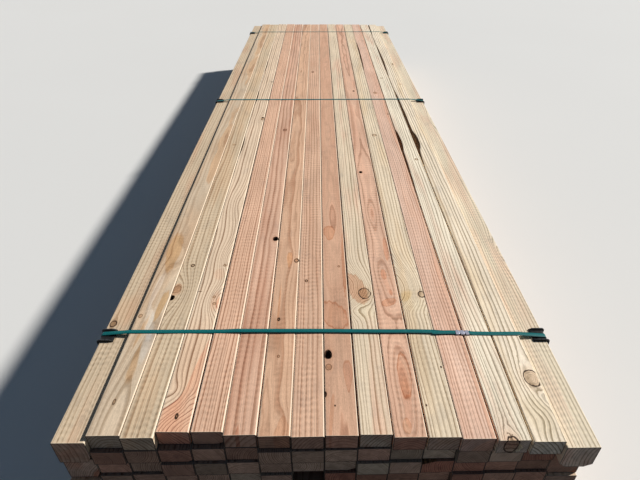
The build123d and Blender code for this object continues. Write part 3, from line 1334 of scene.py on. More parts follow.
@dataclass
class StackSizes:
    """The sizes and places that the whole stack is laid out by."""

    timber_base: float = 1.0
    layer_count: int = 8
    column_count: int = 14
    batten_width: float = 70.0
    batten_thickness: float = 45.0
    side_section: float = 70.0
    side_count: int = 5
    pitch: float = 70.6
    inner_half: float = 493.9
    outer_half: float = 564.5
    hidden_shift: float = 6.0
    slipped: tuple[int, int] = (7, 5)
    slipped_shift: float = 48.0
    near_line: float = -2013.5

    @property
    def top(self) -> float:
        """The height of the inner block."""
        return self.timber_base + self.layer_count * self.batten_thickness

    @property
    def side_top(self) -> float:
        """The height of the outer columns."""
        return self.timber_base + self.side_count * self.side_section

    def column_x(self, column: int) -> float:
        """The middle of an inner column, counted from 1."""
        return -self.inner_half + self.batten_width / 2 + (column - 1) * self.pitch

    def uneven(self, number: int) -> float:
        """The small steady shift of a batten that nobody lined up, between -1 and 1."""
        steps = 16
        return 2 * ((number * 37 + 11) % (steps + 1)) / steps - 1


SOUND, RINGED, OPEN = KnotLook

# The woods of the top layer, from left to right
TOP_WOODS = (
    TimberFinish(
        "grey cream wood with a brown heart", (202, 180, 154), (196, 160, 127), Cut.FLAT_RIGHT,
        pitch=8, contrast=0.9, heart_far=84, turn=800, wander=5, waves=4, seed=2, slot="sapwood",
        knots=(Knot(-3, 83, 3, SOUND, 2.2), Knot(-25, 354, 5, SOUND, flow=1.3)),
        figures=(Figure(4, 20, 44, 190, -15), Figure(9, 621.6, 30, 60, 7)),
        patches=(
            Patch(7, 196, 8, 62, (0.9, 0.76, 0.62), -0.6, -2, soft=0.3),
            Patch(-7, 290, 5, 56, (0.9, 0.78, 0.66), 0.3, 4, soft=0.3),
            Patch(20, 394, 9, 62, (0.94, 0.79, 0.6), 0.3, 3, 0.2),
            Patch(-11, 455, 8, 78, (1.2, 1.32, 1.5), 0.4, 3, soft=0.25),
            Patch(6, 328, 12, 58, (1.18, 1.3, 1.47), 0, -12, soft=0.25),
            Patch(22, 250, 12, 56, (1.1, 1.2, 1.36), soft=0.4),
            Patch(-5, 640, 21, 104, (0.94, 0.81, 0.64), 0.3, -6, 0.2),
        ),
    ),
    TimberFinish(
        "straw wood", (205, 182, 153), (206, 170, 134), Cut.RIFT_LEFT, pitch=8.2, ripple=0.7,
        seed=3, slot="mixed_wood",
        knots=(
            Knot(-24.9, 467, 12, SOUND, flow=1.7), Knot(-31, 431, 8, OPEN),
            Knot(-2, 576, 5, RINGED), Knot(0.4, 1458.3, 6, SOUND),
        ),
        figures=(Figure(-34, 452, 46, 84, -26),),
        patches=(Patch(-25, 466, 14, 26, (0.95, 0.8, 0.74)),),
    ),
    TimberFinish(
        "strongly figured salmon wood", (205, 154, 126), (206, 180, 154), Cut.RIFT_LEFT, pitch=7.4,
        contrast=1.8, heart=112, heart_far=188, turn=330, wander=5, waves=3.6, ripple=0.2, seed=4,
        knots=(
            Knot(24.2, 564, 4, SOUND), Knot(16.2, 421, 3.5, SOUND, flow=1.2),
            Knot(20.9, 393, 4, SOUND), Knot(30.7, 1758, 9, RINGED), Knot(27, 1776, 6, OPEN),
            Knot(28, 2362.5, 5, OPEN), Knot(1.8, 38, 2.4, RINGED, 2.2),
        ),
        figures=(
            Figure(8, -4, 90, 62, 54), Figure(27, 404, 30, 56, 27), Figure(34, 600, 34, 72, 25),
            Figure(31.7, 1758, 26, 70, 14), Figure(10, 930, 40, 120, 14),
            Figure(-12, 104, 16, 34, -8), Figure(20, 72, 12, 20, 7),
        ),
        patches=(
            Patch(22, 405, 11, 38, (0.97, 0.87, 0.83), soft=0.3),
            Patch(-27.5, 443, 6.5, 1.5, (0.26, 0.2, 0.17), soft=0.3),
            Patch(14, 520, 16, 26, (0.99, 0.91, 0.88), soft=0.3),
            Patch(0, 190, 34, 120, (0.98, 0.9, 0.86), soft=0.6),
        ),
    ),
    TimberFinish(
        "salmon wood with fine straight grain", (206, 164, 137), (202, 158, 130), Cut.RIFT_LEFT,
        pitch=5.2, contrast=1.6, ripple=0.8, waves=1.6, seed=5,
    ),
    TimberFinish(
        "pink wood with a knot hole", (210, 168, 142), (200, 148, 121), Cut.RIFT_RIGHT, pitch=12.5,
        contrast=0.95, ripple=0.5, waves=4.6, seed=6,
        knots=(Knot(26, 710, 9, OPEN, flow=1.7), Knot(7.4, 1621.9, 8, RINGED)),
        patches=(Patch(-5, 6, 3.4, 20, (0.8, 0.62, 0.56), -0.7, edge=0.6),),
    ),
    TimberFinish(
        "light orange flat sawn wood", (210, 168, 138), (206, 162, 131), Cut.FLAT_LEFT, pitch=6.5,
        contrast=0.8, ripple=0.35, waves=6, seed=7, slot="mixed_wood",
        knots=(
            Knot(27, 596, 6.5, RINGED), Knot(-11.5, 342, 2.6, RINGED, 1.8),
            Knot(-4.1, 215, 3, SOUND),
        ),
        figures=(Figure(8.5, 609.5, 12, 60, -8), Figure(15, 20, 18, 50, -9)),
        patches=(
            Patch(6, 600, 8, 40, (0.94, 0.8, 0.66), 0.35, edge=0.3),
            Patch(-14, 390, 3, 80, (0.9, 0.76, 0.66), soft=0.4),
            Patch(18, 14, 15, 34, (0.98, 0.88, 0.82), -0.5, edge=0.3),
        ),
    ),
    TimberFinish(
        "red wood with dashed lines", (207, 167, 140), (198, 152, 124), Cut.RIFT_RIGHT, pitch=7.2,
        contrast=1.2, ripple=0.85, waves=1.8, seed=8,
        knots=(Knot(-11.4, 501, 3.5, RINGED), Knot(-8.7, 2575.1, 8, RINGED)),
    ),
    TimberFinish(
        "salmon wood with broad loops", (209, 166, 138), (209, 163, 135), Cut.FLAT, pitch=9.5,
        contrast=0.5, heart=86, heart_far=84, ripple=0.25, waves=5, seed=9,
        knots=(
            Knot(-25.5, 219, 9.5, OPEN, 1.5, flow=1.3), Knot(-24.9, 180, 7, SOUND, 1.3),
            Knot(-34, 103, 3.4, OPEN, 2), Knot(14, 566, 3, SOUND), Knot(-12.5, 73, 1.4, OPEN),
        ),
        figures=(Figure(-0.6, 848.3, 18, 110, -6), Figure(5.4, 428.9, 34, 60, 5)),
        patches=(
            Patch(20.5, 153, 9, 44, (0.95, 0.84, 0.8), 0.5, edge=0.6, soft=0.08),
            Patch(-8, 356, 36, 52, (0.95, 0.86, 0.81), 0.1, -14, 0.8, 0.06),
            Patch(-12, 745, 17, 40, (0.93, 0.8, 0.72), 0.3, edge=0.7, soft=0.08),
            Patch(-21, 44, 4, 60, (0.92, 0.82, 0.76), 0.2, 5, 0.3),
            Patch(31, 600, 6, 150, (0.93, 0.8, 0.72), 0, 3, 0.9, 0.06),
        ),
    ),
    TimberFinish(
        "pale cream wood with a ringed knot", (214, 194, 167), (210, 162, 136), Cut.RIFT_RIGHT,
        pitch=7, contrast=1.4, waves=3.4, seed=10, slot="sapwood",
        knots=(Knot(10.4, 441, 17, RINGED, flow=1.1),),
        figures=(Figure(-40, 470, 60, 72, 62), Figure(-28, 376, 34, 34, -24)),
        patches=(
            Patch(-14, 464, 28, 62, (0.88, 0.69, 0.61), 0.1, -16, 0.5),
            Patch(6, 370, 22, 34, (1.05, 1.07, 1.04), soft=0.4),
        ),
    ),
    TimberFinish(
        "salmon wood with nested ovals", (211, 169, 143), (209, 160, 133), Cut.FLAT, pitch=7.5,
        heart=78, heart_far=80, ripple=0.8, waves=4, seed=11,
        knots=(Knot(-18.3, 1186.3, 7, OPEN), Knot(15.5, 2199, 6.5, OPEN)),
        figures=(
            Figure(7, 135, 24, 105, -16), Figure(-3, 24, 20, 40, -7), Figure(12, 450, 14, 50, -9),
            Figure(2, 530, 18, 64, -11), Figure(0.2, 866.4, 16, 85, -13),
            Figure(4.5, 318.4, 30, 60, 6),
        ),
        patches=(
            Patch(10, 158, 14, 64, (0.99, 0.92, 0.87), 0.05, 2, 0.9, 0.06),
            Patch(7, 122, 9, 30, (1.03, 0.96, 0.9), -0.2, soft=0.4),
            Patch(-3.4, 26, 8.5, 18, (0.98, 0.89, 0.81), 0, 0, 0.5, 0.08),
            Patch(2.9, 532, 8, 22, (0.95, 0.82, 0.75), 0, 0, 0.6, 0.1),
            Patch(14.9, 450, 4.5, 12, (0.88, 0.72, 0.64), 0, 0, 0.6, 0.12),
            Patch(4, 410, 18, 16, (0.93, 0.8, 0.72), 0, 8, 0.6, 0.1),
            Patch(24, 660, 7, 60, (0.92, 0.76, 0.68), 0, 2, 0.4),
        ),
    ),
    TimberFinish(
        "cream wood with a hooked knot", (214, 195, 168), (206, 176, 140), Cut.RIFT_RIGHT,
        pitch=7.4, contrast=1.5, ripple=0.4, waves=3.2, seed=12, slot="sapwood",
        knots=(
            Knot(29, 443, 9.5, RINGED, flow=1.8), Knot(2.8, 1562.7, 9, RINGED),
            Knot(29.9, 184, 1.8, OPEN), Knot(-26.9, 78, 1.6, OPEN),
        ),
        figures=(Figure(-40, 470, 64, 100, 74), Figure(-20, 376, 44, 36, -18)),
        patches=(
            Patch(-19, 434, 15, 24, (0.95, 0.88, 0.72), 0.4, 9, soft=0.4),
            Patch(2, 400, 30, 26, (1.04, 1.05, 1.02), soft=0.4),
        ),
    ),
    TimberFinish(
        "salmon wood with planer ripple", (215, 179, 157), (210, 164, 138), Cut.RIFT_RIGHT,
        pitch=5.6, contrast=1.3, ripple=0.65, waves=3.4, seed=13, heart=101, heart_far=101,
        knots=(Knot(29.6, 1838.1, 3.5, OPEN), Knot(-4.7, 2167.9, 11, SOUND)),
        patches=(Patch(4, 165, 26, 60, (1.05, 1.06, 1.06), soft=0.5),),
    ),
    TimberFinish(
        "cream wood with strong wavy lines", (222, 207, 184), (205, 158, 133), Cut.RIFT_RIGHT,
        pitch=6.5, contrast=2, waves=3.4, seed=14, slot="sapwood",
        figures=(Figure(5.3, 616.4, 60, 300, -8),),
        knots=(
            Knot(-5.2, -4.8, 15.5, RINGED, 1.18, 1.68, 5.5, 1.1), Knot(15.3, 1312.5, 6, RINGED),
            Knot(-11.4, 2453, 7, RINGED),
        ),
    ),
    TimberFinish(
        "cream wood with a large ringed knot", (221, 205, 181), (212, 184, 148), Cut.RIFT_LEFT,
        pitch=7.8, contrast=1.9, ripple=0.2, waves=4, seed=15, slot="sapwood",
        figures=(Figure(20, 160, 34, 80, 6), Figure(26, 108, 14, 26, 9), Figure(6, 52, 22, 30, -9)),
        knots=(
            Knot(19.8, 161, 18, RINGED, flow=1.2), Knot(18.1, 2335.9, 7, SOUND),
            Knot(28, 2763.9, 7, SOUND),
        ),
        patches=(Patch(0, 60, 32, 52, (0.9, 0.88, 0.82), soft=0.5),),
    ),
)


@dataclass
class TopLayer:
    """The fourteen battens that show on top, each with its own wood."""

    sizes: StackSizes = field(default_factory=StackSizes)
    wanes: dict[int, tuple[Wane, ...]] = field(
        default_factory=lambda: {
            3: (
                Wane(-1, 1, 1435, 260, 7, 9), Wane(-1, 1, 2073, 300, 8, 11),
                Wane(-1, 1, 2697, 290, 7, 9),
            ),
            4: (Wane(1, -1, 0, 700, 20, 9),),
            12: (Wane(-1, 1, 2984, 860, 8, 12),),
            13: (Wane(-1, 1, 1500, 280, 13, 16), Wane(-1, 1, 1330, 760, 6, 9)),
            14: (
                Wane(-1, 1, 1745, 1080, 10, 14), Wane(-1, 1, 1520, 300, 22, 24),
                Wane(-1, 1, 2900, 900, 8, 12), Wane(-1, 1, 3980, 900, 7, 10),
            ),
        }
    )
    tilts: tuple[float, ...] = (
        0.2, 1.1, -1.4, -0.3, 1.2, 1.1, 0.9, -0.3, -0.4, 0.3, -0.4, -0.3, -0.4, -0.3,
    )
    arrises: tuple[float, ...] = (2.2,) + (3.2,) * 6 + (2.0,) * 7
    shrinkage: tuple[float, ...] = (
        0.0, 0.0, 0.0, 2.6, 0.0, 1.5, 0.0, 1.4, 3.2, 1.8, 3.2, 0.8, 3.6, 3.6,
    )
    end_void: tuple[Line, ...] = (
        (10.0, -12.0), (20.0, -19.0), (21.0, -32.0), (12.0, -41.0), (3.0, -42.0), (12.0, -30.0),
    )
    end_void_column: int = 13
    least_hole: float = 4.5

    def build(self) -> None:
        """Draw, dress and place the fourteen battens."""
        sizes = self.sizes
        for number, finish in enumerate(TOP_WOODS):
            column = number + 1
            node = f"top_batten_{column:02d}"
            fallen = (k for k in finish.knots if k.look is OPEN and k.radius >= self.least_hole)
            shell = Shell()
            Batten(
                sizes.column_x(column),
                sizes.top - sizes.batten_thickness / 2,
                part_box(node)[0].y / MM,
                tilt=self.tilts[number],
                arris=self.arrises[number],
                shrunk=self.shrinkage[number],
                skew=0.4 + 0.4 * sizes.uneven(column),
                wanes=self.wanes.get(column, ()),
                holes=tuple(fallen),
                void=self.end_void if column == self.end_void_column else (),
            ).draw(shell)
            shell.piece(node, "planed", finish.material(), finish.slot)


@dataclass
class HiddenLayers:
    """The seven layers below, of which the sawn ends show."""

    sizes: StackSizes = field(default_factory=StackSizes)
    wanes: dict[tuple[int, int], tuple[Wane, ...]] = field(
        default_factory=lambda: {
            (3, 7): (Wane(1, -1, 0, 900, 14, 9),),
            (8, 6): (Wane(1, -1, 0, 600, 22, 10),),
            (11, 6): (Wane(-1, 1, 0, 800, 34, 14),),
        }
    )

    def chart(self, column: int) -> Chart:
        """A batten's share of its layer's map: mostly its two ends, which show.

        Args:
            column: Its column, counted from 1.

        Returns:
            The chart.
        """
        cells = []
        for cell in (2 * (column - 1), 2 * (column - 1) + 1):
            row, place = divmod(cell, 6)
            cells.append((0.006 + 0.165 * place, 0.496 + 0.1 * row, 0.152, 0.094))
        return Chart(1, 0.006 + 0.0345 * (column - 1), 0.028, 0.0, *cells)

    def build(self) -> None:
        """Draw, dress and place the seven layers."""
        sizes = self.sizes
        finish = TimberFinish(
            "mixed wood of the hidden layers", (206, 184, 156), (203, 150, 122), Cut.FLAT,
            pitch=4.4, contrast=1.3, wander=10, waves=2.5, ripple=0.3, seed=20, mixed=True,
            slot="mixed_wood",
        )
        material = finish.material()
        for layer in range(1, sizes.layer_count):
            shell = Shell()
            for column in range(1, sizes.column_count + 1):
                number = column + sizes.column_count * layer
                shift = sizes.hidden_shift * sizes.uneven(number)
                if (column, layer) == sizes.slipped:
                    shift = sizes.slipped_shift
                pith_x = 70 * sizes.uneven(number * 5 + 2)
                pith_z = 55 * sizes.uneven(number * 7 + 4) - 30
                Batten(
                    sizes.column_x(column),
                    sizes.timber_base + (layer - 0.5) * sizes.batten_thickness,
                    sizes.near_line + shift,
                    step=1000.0,
                    skew=0.5 + 0.5 * sizes.uneven(number * 3),
                    wanes=self.wanes.get((column, layer), ()),
                    seed=float(number),
                    pith=(pith_x, pith_z),
                    tone=0.5 + 0.5 * sizes.uneven(number * 11 + 5),
                ).draw(shell, self.chart(column))
            shell.piece(f"batten_layer_{layer}", "planed", material, finish.slot)


@dataclass
class SideColumn:
    """The five square battens down one long side; side is -1 for the left one.

    tones and cuts are those of the battens that don't show from above.
    """

    side: int
    wanes: dict[int, tuple[Wane, ...]]
    sizes: StackSizes = field(default_factory=StackSizes)
    tones: tuple[Colour, ...] = (
        (190, 170, 146), (187, 155, 129), (195, 175, 149), (188, 151, 125),
    )
    cuts: tuple[Cut, ...] = (Cut.FLAT, Cut.RIFT_LEFT, Cut.FLAT_RIGHT, Cut.RIFT_RIGHT)

    @property
    def word(self) -> str:
        """Left or right."""
        return "left" if self.side < 0 else "right"

    def finish(self, level: int) -> TimberFinish:
        """The finish of one of the battens.

        Args:
            level: Which one, counted from the ground.

        Returns:
            The finish.
        """
        if level < self.sizes.side_count:
            tone = self.tones[(level + (self.side > 0)) % len(self.tones)]
            return TimberFinish(
                f"{self.word} edge wood {level}", tone, (185, 138, 110), self.cuts[level - 1],
                pitch=4.6, contrast=1.1, heart=70, heart_far=66, wander=9, waves=4, ripple=0.4,
                seed=30 + level + 7 * self.side,
                knots=(Knot(10, 700 + 420 * level, 9, RINGED, reach=4, height=0),),
            )
        if self.side < 0:
            return TimberFinish(
                "dull straw wood of the left edge", (203, 181, 153), (196, 156, 126),
                Cut.QUARTER_LEFT, pitch=9.5, contrast=0.8, waves=4, ripple=0.8, seed=1,
                knots=(Knot(-22, 345, 8, RINGED, height=35),),
                patches=(Patch(-4, 392, 36, 56, (1.03, 0.94, 0.89), soft=0.6),),
            )
        return TimberFinish(
            "cream orange wood of the right edge", (217, 202, 176), (215, 176, 149),
            Cut.QUARTER_RIGHT, pitch=7.6, contrast=1.4, ripple=0.7, seed=16, wander=14, waves=3,
            heart=97, heart_far=97,
            figures=(Figure(27.1, 678.3, 12, 90, -16), Figure(22.9, 1790.5, 12, 120, -14)),
        )

    def build(self) -> None:
        """Draw, dress and place the five battens."""
        sizes = self.sizes
        for level in range(1, sizes.side_count + 1):
            node = f"{self.word}_side_batten_{level}"
            shell = Shell()
            Batten(
                self.side * (sizes.outer_half - sizes.side_section / 2),
                sizes.timber_base + (level - 0.5) * sizes.side_section,
                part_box(node)[0].y / MM,
                thickness=sizes.side_section,
                skew=0.5 + 0.5 * sizes.uneven(level + self.side),
                wanes=self.wanes.get(level, ()),
            ).draw(shell)
            slot = "mixed_wood" if self.side < 0 else "sapwood"
            shell.piece(node, "planed", self.finish(level).material(), slot)


@dataclass(frozen=True)
class Seat:
    """A place for a seal: its middle on the strap's inner face, and the ways along and outward."""

    middle: Vector
    along: Vector
    outward: Vector

    def place(self, along: float, across: float, out: float) -> Vector:
        """A place in the frame, in millimetres, from one along, across and out of the strap."""
        return self.middle + self.along * along + Vector((0, across, 0)) + self.outward * out


def crimp(along: float) -> float:
    """How far the crimper pressed a seal's edges in, in millimetres, at a place along it."""
    return sum(1.9 * math.exp(-(((along - notch) / 1.5) ** 2)) for notch in (-6.0, 6.0))


@dataclass
class Strap:
    """One taut strap round the stack, lapped under its seal, with a tail past it.

    bow gives places across the stack, each with how far the strap strays there along it, and span
    the places between which it stands off the uneven battens by crown. The tail points left on top
    and down on a side. A strap with its seal on top lifts off the timber at foot from the seal's
    middle and is level from shoulder on. edge is how much its edges are rounded.
    """

    name: str
    y: float
    seal_on_top: bool
    sizes: StackSizes = field(default_factory=StackSizes)
    bow: tuple[Line, ...] = ()
    crown: float = 0.0
    span: Line = (-215.0, 320.0)
    width: float = 13.0
    sheet: float = 0.9
    edge: float = 0.22
    lift: float = 0.1
    guard: float = 2.6
    guard_leg: float = 38.0
    guard_radius: float = 5.0
    bottom_radius: float = 2.2
    slack_radius: float = 40.0
    inner_radius: float = 12.0
    bridge_radius: float = 30.0
    foot: float = 33.0
    shoulder: float = 17.5
    top_tail: float = 60.0
    side_tail: float = 13.0
    lap: float = 5.0
    lap_steps: int = 96
    seal_length: float = 33.0
    seal_sheet: float = 0.8
    seal_clearance: float = 0.2
    seal_joint: int = 12
    seal_drop: float = 150.0
    strips: int = 3
    step: float = 38.0
    clear: float = 1.2

    @property
    def seal_place(self) -> Line:
        """Where a seal on top has its middle, across and up."""
        middle = self.sizes.column_x(self.seal_joint) + self.sizes.pitch / 2
        return middle, self.sizes.top + self.lift + self.seal_sheet + self.seal_clearance

    def corners(self) -> list[tuple[float, float, float]]:
        """The corners of the inner face, anticlockwise as its near side shows it.

        Returns:
            X, height and the radius of the turn of each.
        """
        sizes = self.sizes
        lip = sizes.outer_half + self.guard + self.lift
        base = sizes.top + self.lift
        right = [
            (sizes.outer_half + self.lift, sizes.timber_base - self.lift, self.bottom_radius),
            (lip, sizes.side_top - self.guard_leg, self.slack_radius),
            (lip, sizes.side_top + self.guard + self.lift, self.guard_radius),
            (sizes.inner_half, base, self.inner_radius),
        ]
        left = [(-x, z, radius) for x, z, radius in reversed(right)]
        if self.seal_on_top:
            middle, raised = self.seal_place
            level = ((self.foot, base), (self.shoulder, raised), (-self.shoulder, raised))
            for offset, height in (*level, (-self.foot, base)):
                right.append((middle + offset, height, self.bridge_radius))
        return right + left

    def seat(self) -> Seat:
        """Where the seal sits.

        Returns:
            Its seat, on top or on the right side.
        """
        if self.seal_on_top:
            middle, height = self.seal_place
            place, way, outward = Vector((middle, 0, height)), Vector((1, 0, 0)), Vector((0, 0, 1))
        else:
            (foot_x, foot_z, _), (lip_x, lip_z, _) = self.corners()[:2]
            way = Vector((foot_x - lip_x, 0, foot_z - lip_z)).normalized()
            outward = way.cross(Vector((0, 1, 0)))
            place = Vector((lip_x, 0, lip_z)) + way * self.seal_drop
        half = way * self.seal_length / 2
        start, end = self.strayed(place - half), self.strayed(place + half)
        return Seat((start + end) / 2, (end - start).normalized(), outward)

    def strayed(self, place: Vector) -> Vector:
        """Move a place on the strap's straight line to where the strap really lies.

        Args:
            place: The place, in millimetres.

        Returns:
            The place in the frame.
        """
        stray = 0.7 * wobble(place.x / 260, place.z / 260, self.y / 500)
        for (start, low), (end, high) in zip(self.bow, self.bow[1:]):
            if start <= place.x < end:
                bow = low + (high - low) * eased(start, end, place.x)
                stray += bow * eased(0.0, 250.0, place.z)
        lifted = 0.0
        if place.z > self.sizes.top:
            low, high = self.span
            inside = eased(low - 50, low, place.x) * eased(high, high - 40, place.x)
            lifted = self.crown * inside
        return place + Vector((0, self.y + stray, lifted))

    def path(self) -> list[tuple[Vector, Vector]]:
        """The inner face round the stack.

        Returns:
            Each station's place and the way outward there.
        """
        corners = self.corners()
        places = [Vector((x, 0, z)) for x, z, _ in corners]
        seal = self.seat().middle
        stations: list[tuple[Vector, Vector]] = []
        for n, (_, _, radius) in enumerate(corners):
            before, corner, after = places[n - 1], places[n], places[(n + 1) % len(places)]
            into, out = (corner - before).normalized(), (after - corner).normalized()
            turn = into.angle(out)
            reach = radius * math.tan(turn / 2)
            steps = max(2, round(math.degrees(turn) / 15))
            bend_in = Vector((into.z, 0, -into.x))
            bend_out = Vector((out.z, 0, -out.x))
            for step in range(steps + 1):
                share = step / steps
                here = corner - into * reach * (1 - share) ** 2 + out * reach * share**2
                stations.append((here, bend_in.lerp(bend_out, share).normalized()))
            offset = seal - corner
            at = offset.x * out.x + offset.z * out.z
            off_line = abs(offset.x * bend_out.x + offset.z * bend_out.z)
            fine = [(at - 9.0, at + 9.0, 0.75)] if off_line < 0.5 else []
            end = (after - corner).length - self.clear
            if end > reach + self.clear:
                lines = spaced(reach, end, self.step, fine)[1:-1]
                stations += [(corner + out * line, bend_out) for line in lines]
        return stations

    def ring(
        self, shell: Shell, place: Vector, outward: Vector, along: float, narrow: float
    ) -> list[int]:
        """The strap's section at one station.

        Args:
            shell: The piece that it belongs to.
            place: The middle of its inner face.
            outward: The way out.
            along: How far along the strap it is, in millimetres.
            narrow: How far the seal's crimp presses each edge in.

        Returns:
            The numbers of its points.
        """
        half, edge, sheet = self.width / 2 - narrow, self.edge, self.sheet
        outline = (
            (edge - half, 0.0), (half - edge, 0.0), (half, edge), (half, sheet - edge),
            (half - edge, sheet), (edge - half, sheet), (-half, sheet - edge), (-half, edge),
        )
        numbers = []
        for across, out in outline:
            band = Vector((across, along, out)) * MM
            spot = place + Vector((0, across, 0)) + outward * out
            numbers.append(shell.point(spot, band=band))
        return numbers

    def build(self, finish: bpy.types.Material) -> None:
        """Draw, dress and place the strap.

        Args:
            finish: Its material.
        """
        shell = Shell()
        seat = self.seat()
        rows = []
        run = 0.0
        last: Optional[Vector] = None
        for place, outward in self.path():
            run += (place - last).length if last else 0.0
            last = place
            spot = self.strayed(place)
            offset = spot - seat.middle
            along = offset.dot(seat.along)
            close = abs(along) < 20 and abs(offset.dot(seat.outward)) < 5
            rows.append(self.ring(shell, spot, outward, run, crimp(along) if close else 0.0))
        rows.reverse()
        per_strip = math.ceil(len(rows) / self.strips)
        rows.append(rows[0])
        for strip in range(self.strips):
            part = rows[strip * per_strip : (strip + 1) * per_strip + 1]
            shell.skin(part, (0.004, 0.004 + 0.31 * strip, 0.992, 0.30))
        self.draw_lap(shell, seat)
        shell.piece(f"{self.name}_strap", "band", finish, "strapping_band")

    def draw_lap(self, shell: Shell, seat: Seat) -> None:
        """Draw the strap's outer end, which lies on the band under the seal and past it.

        Args:
            shell: The piece that it belongs to.
            seat: Where the seal sits.
        """
        half = self.seal_length / 2
        before, after = self.lap, self.side_tail
        if self.seal_on_top:
            before, after = self.top_tail, self.lap
        start, end = -half - before, half + after
        tail = max(before, after)
        rows = []
        for step in range(self.lap_steps + 1):
            along = start + (end - start) * step / self.lap_steps
            loose = eased(half + 1, half + tail, -along if self.seal_on_top else along)
            place = seat.place(along, -0.05 * tail * loose, self.sheet + 0.02 + 0.75 * loose)
            narrow = crimp(along) if abs(along) < half else 0.0
            rows.append(self.ring(shell, place, seat.outward, along, narrow))
        shell.skin(rows, (0.004, 0.935, 0.7, 0.06))
        shell.lid(rows[0], (0.72, 0.935, 0.1, 0.06), False)
        shell.lid(rows[-1], (0.84, 0.935, 0.1, 0.06), True)


@dataclass
class Seal:
    """One folded zinc seal round both layers of a strap, with two pairs of crimps.

    gap is its clearance from the strap and bend the radius of its folds outside. The crimper
    presses its top down by press of what it presses the edges in.
    """

    strap: Strap
    lip: float = 4.5
    gap: float = 0.1
    bend: float = 0.8
    press: float = 0.55
    rounding: float = 0.12

    def outline(self, narrow: float) -> list[Line]:
        """The sheet's section, across the strap and out of it.

        Args:
            narrow: How far the crimp presses each edge in.

        Returns:
            The points round it.
        """
        sheet, gap = self.strap.seal_sheet, self.gap
        inside = self.strap.width / 2 + gap - narrow
        roof = 2 * self.strap.sheet + gap
        mouth = self.strap.width / 2 + gap - self.lip
        right = [
            (mouth, -gap), (inside - 0.1, -gap), (inside, 0.1 - gap),
            (inside, roof - 0.1), (inside - 0.1, roof),
        ]
        fold = inside + sheet - self.bend
        outer = [(mouth, -gap - sheet)]
        outer += arc(fold, self.bend - gap - sheet, self.bend, (-90, -60, -30, 0))
        outer += arc(fold, roof + sheet - self.bend, self.bend, (0, 30, 60, 90))
        mirrored = [(-x, z) for x, z in reversed(outer)]
        return [(-x, z) for x, z in right] + right[::-1] + outer + mirrored

    def build(self, finish: bpy.types.Material) -> None:
        """Draw, dress and place the seal.

        Args:
            finish: Its material.
        """
        shell = Shell()
        seat = self.strap.seat()
        half = self.strap.seal_length / 2
        rows = []
        for along in spaced(-half, half, 3.0, [(-9.5, -2.5, 0.6), (2.5, 9.5, 0.6)]):
            narrow = crimp(along)
            ring = []
            for across, out in self.outline(narrow):
                edge = eased(3.0, 7.5, abs(across))
                pressed = out - self.press * narrow * edge * eased(1.2, 2.6, out)
                spot = seat.place(along, across, pressed)
                ring.append(shell.point(spot, band=Vector((across, along, out)) * MM))
            rows.append(ring)
        shell.skin(rows, (0.01, 0.01, 0.98, 0.86))
        shell.lid(rows[0], (0.01, 0.89, 0.2, 0.1), False)
        shell.lid(rows[-1], (0.3, 0.89, 0.2, 0.1), True)
        piece = shell.piece(f"{self.strap.name}_strap_seal", "crimped", finish, "zinc_steel")
        bevel = piece.modifiers.new("rounded cut edges", "BEVEL")
        bevel.width = self.rounding * MM
        bevel.segments = 2


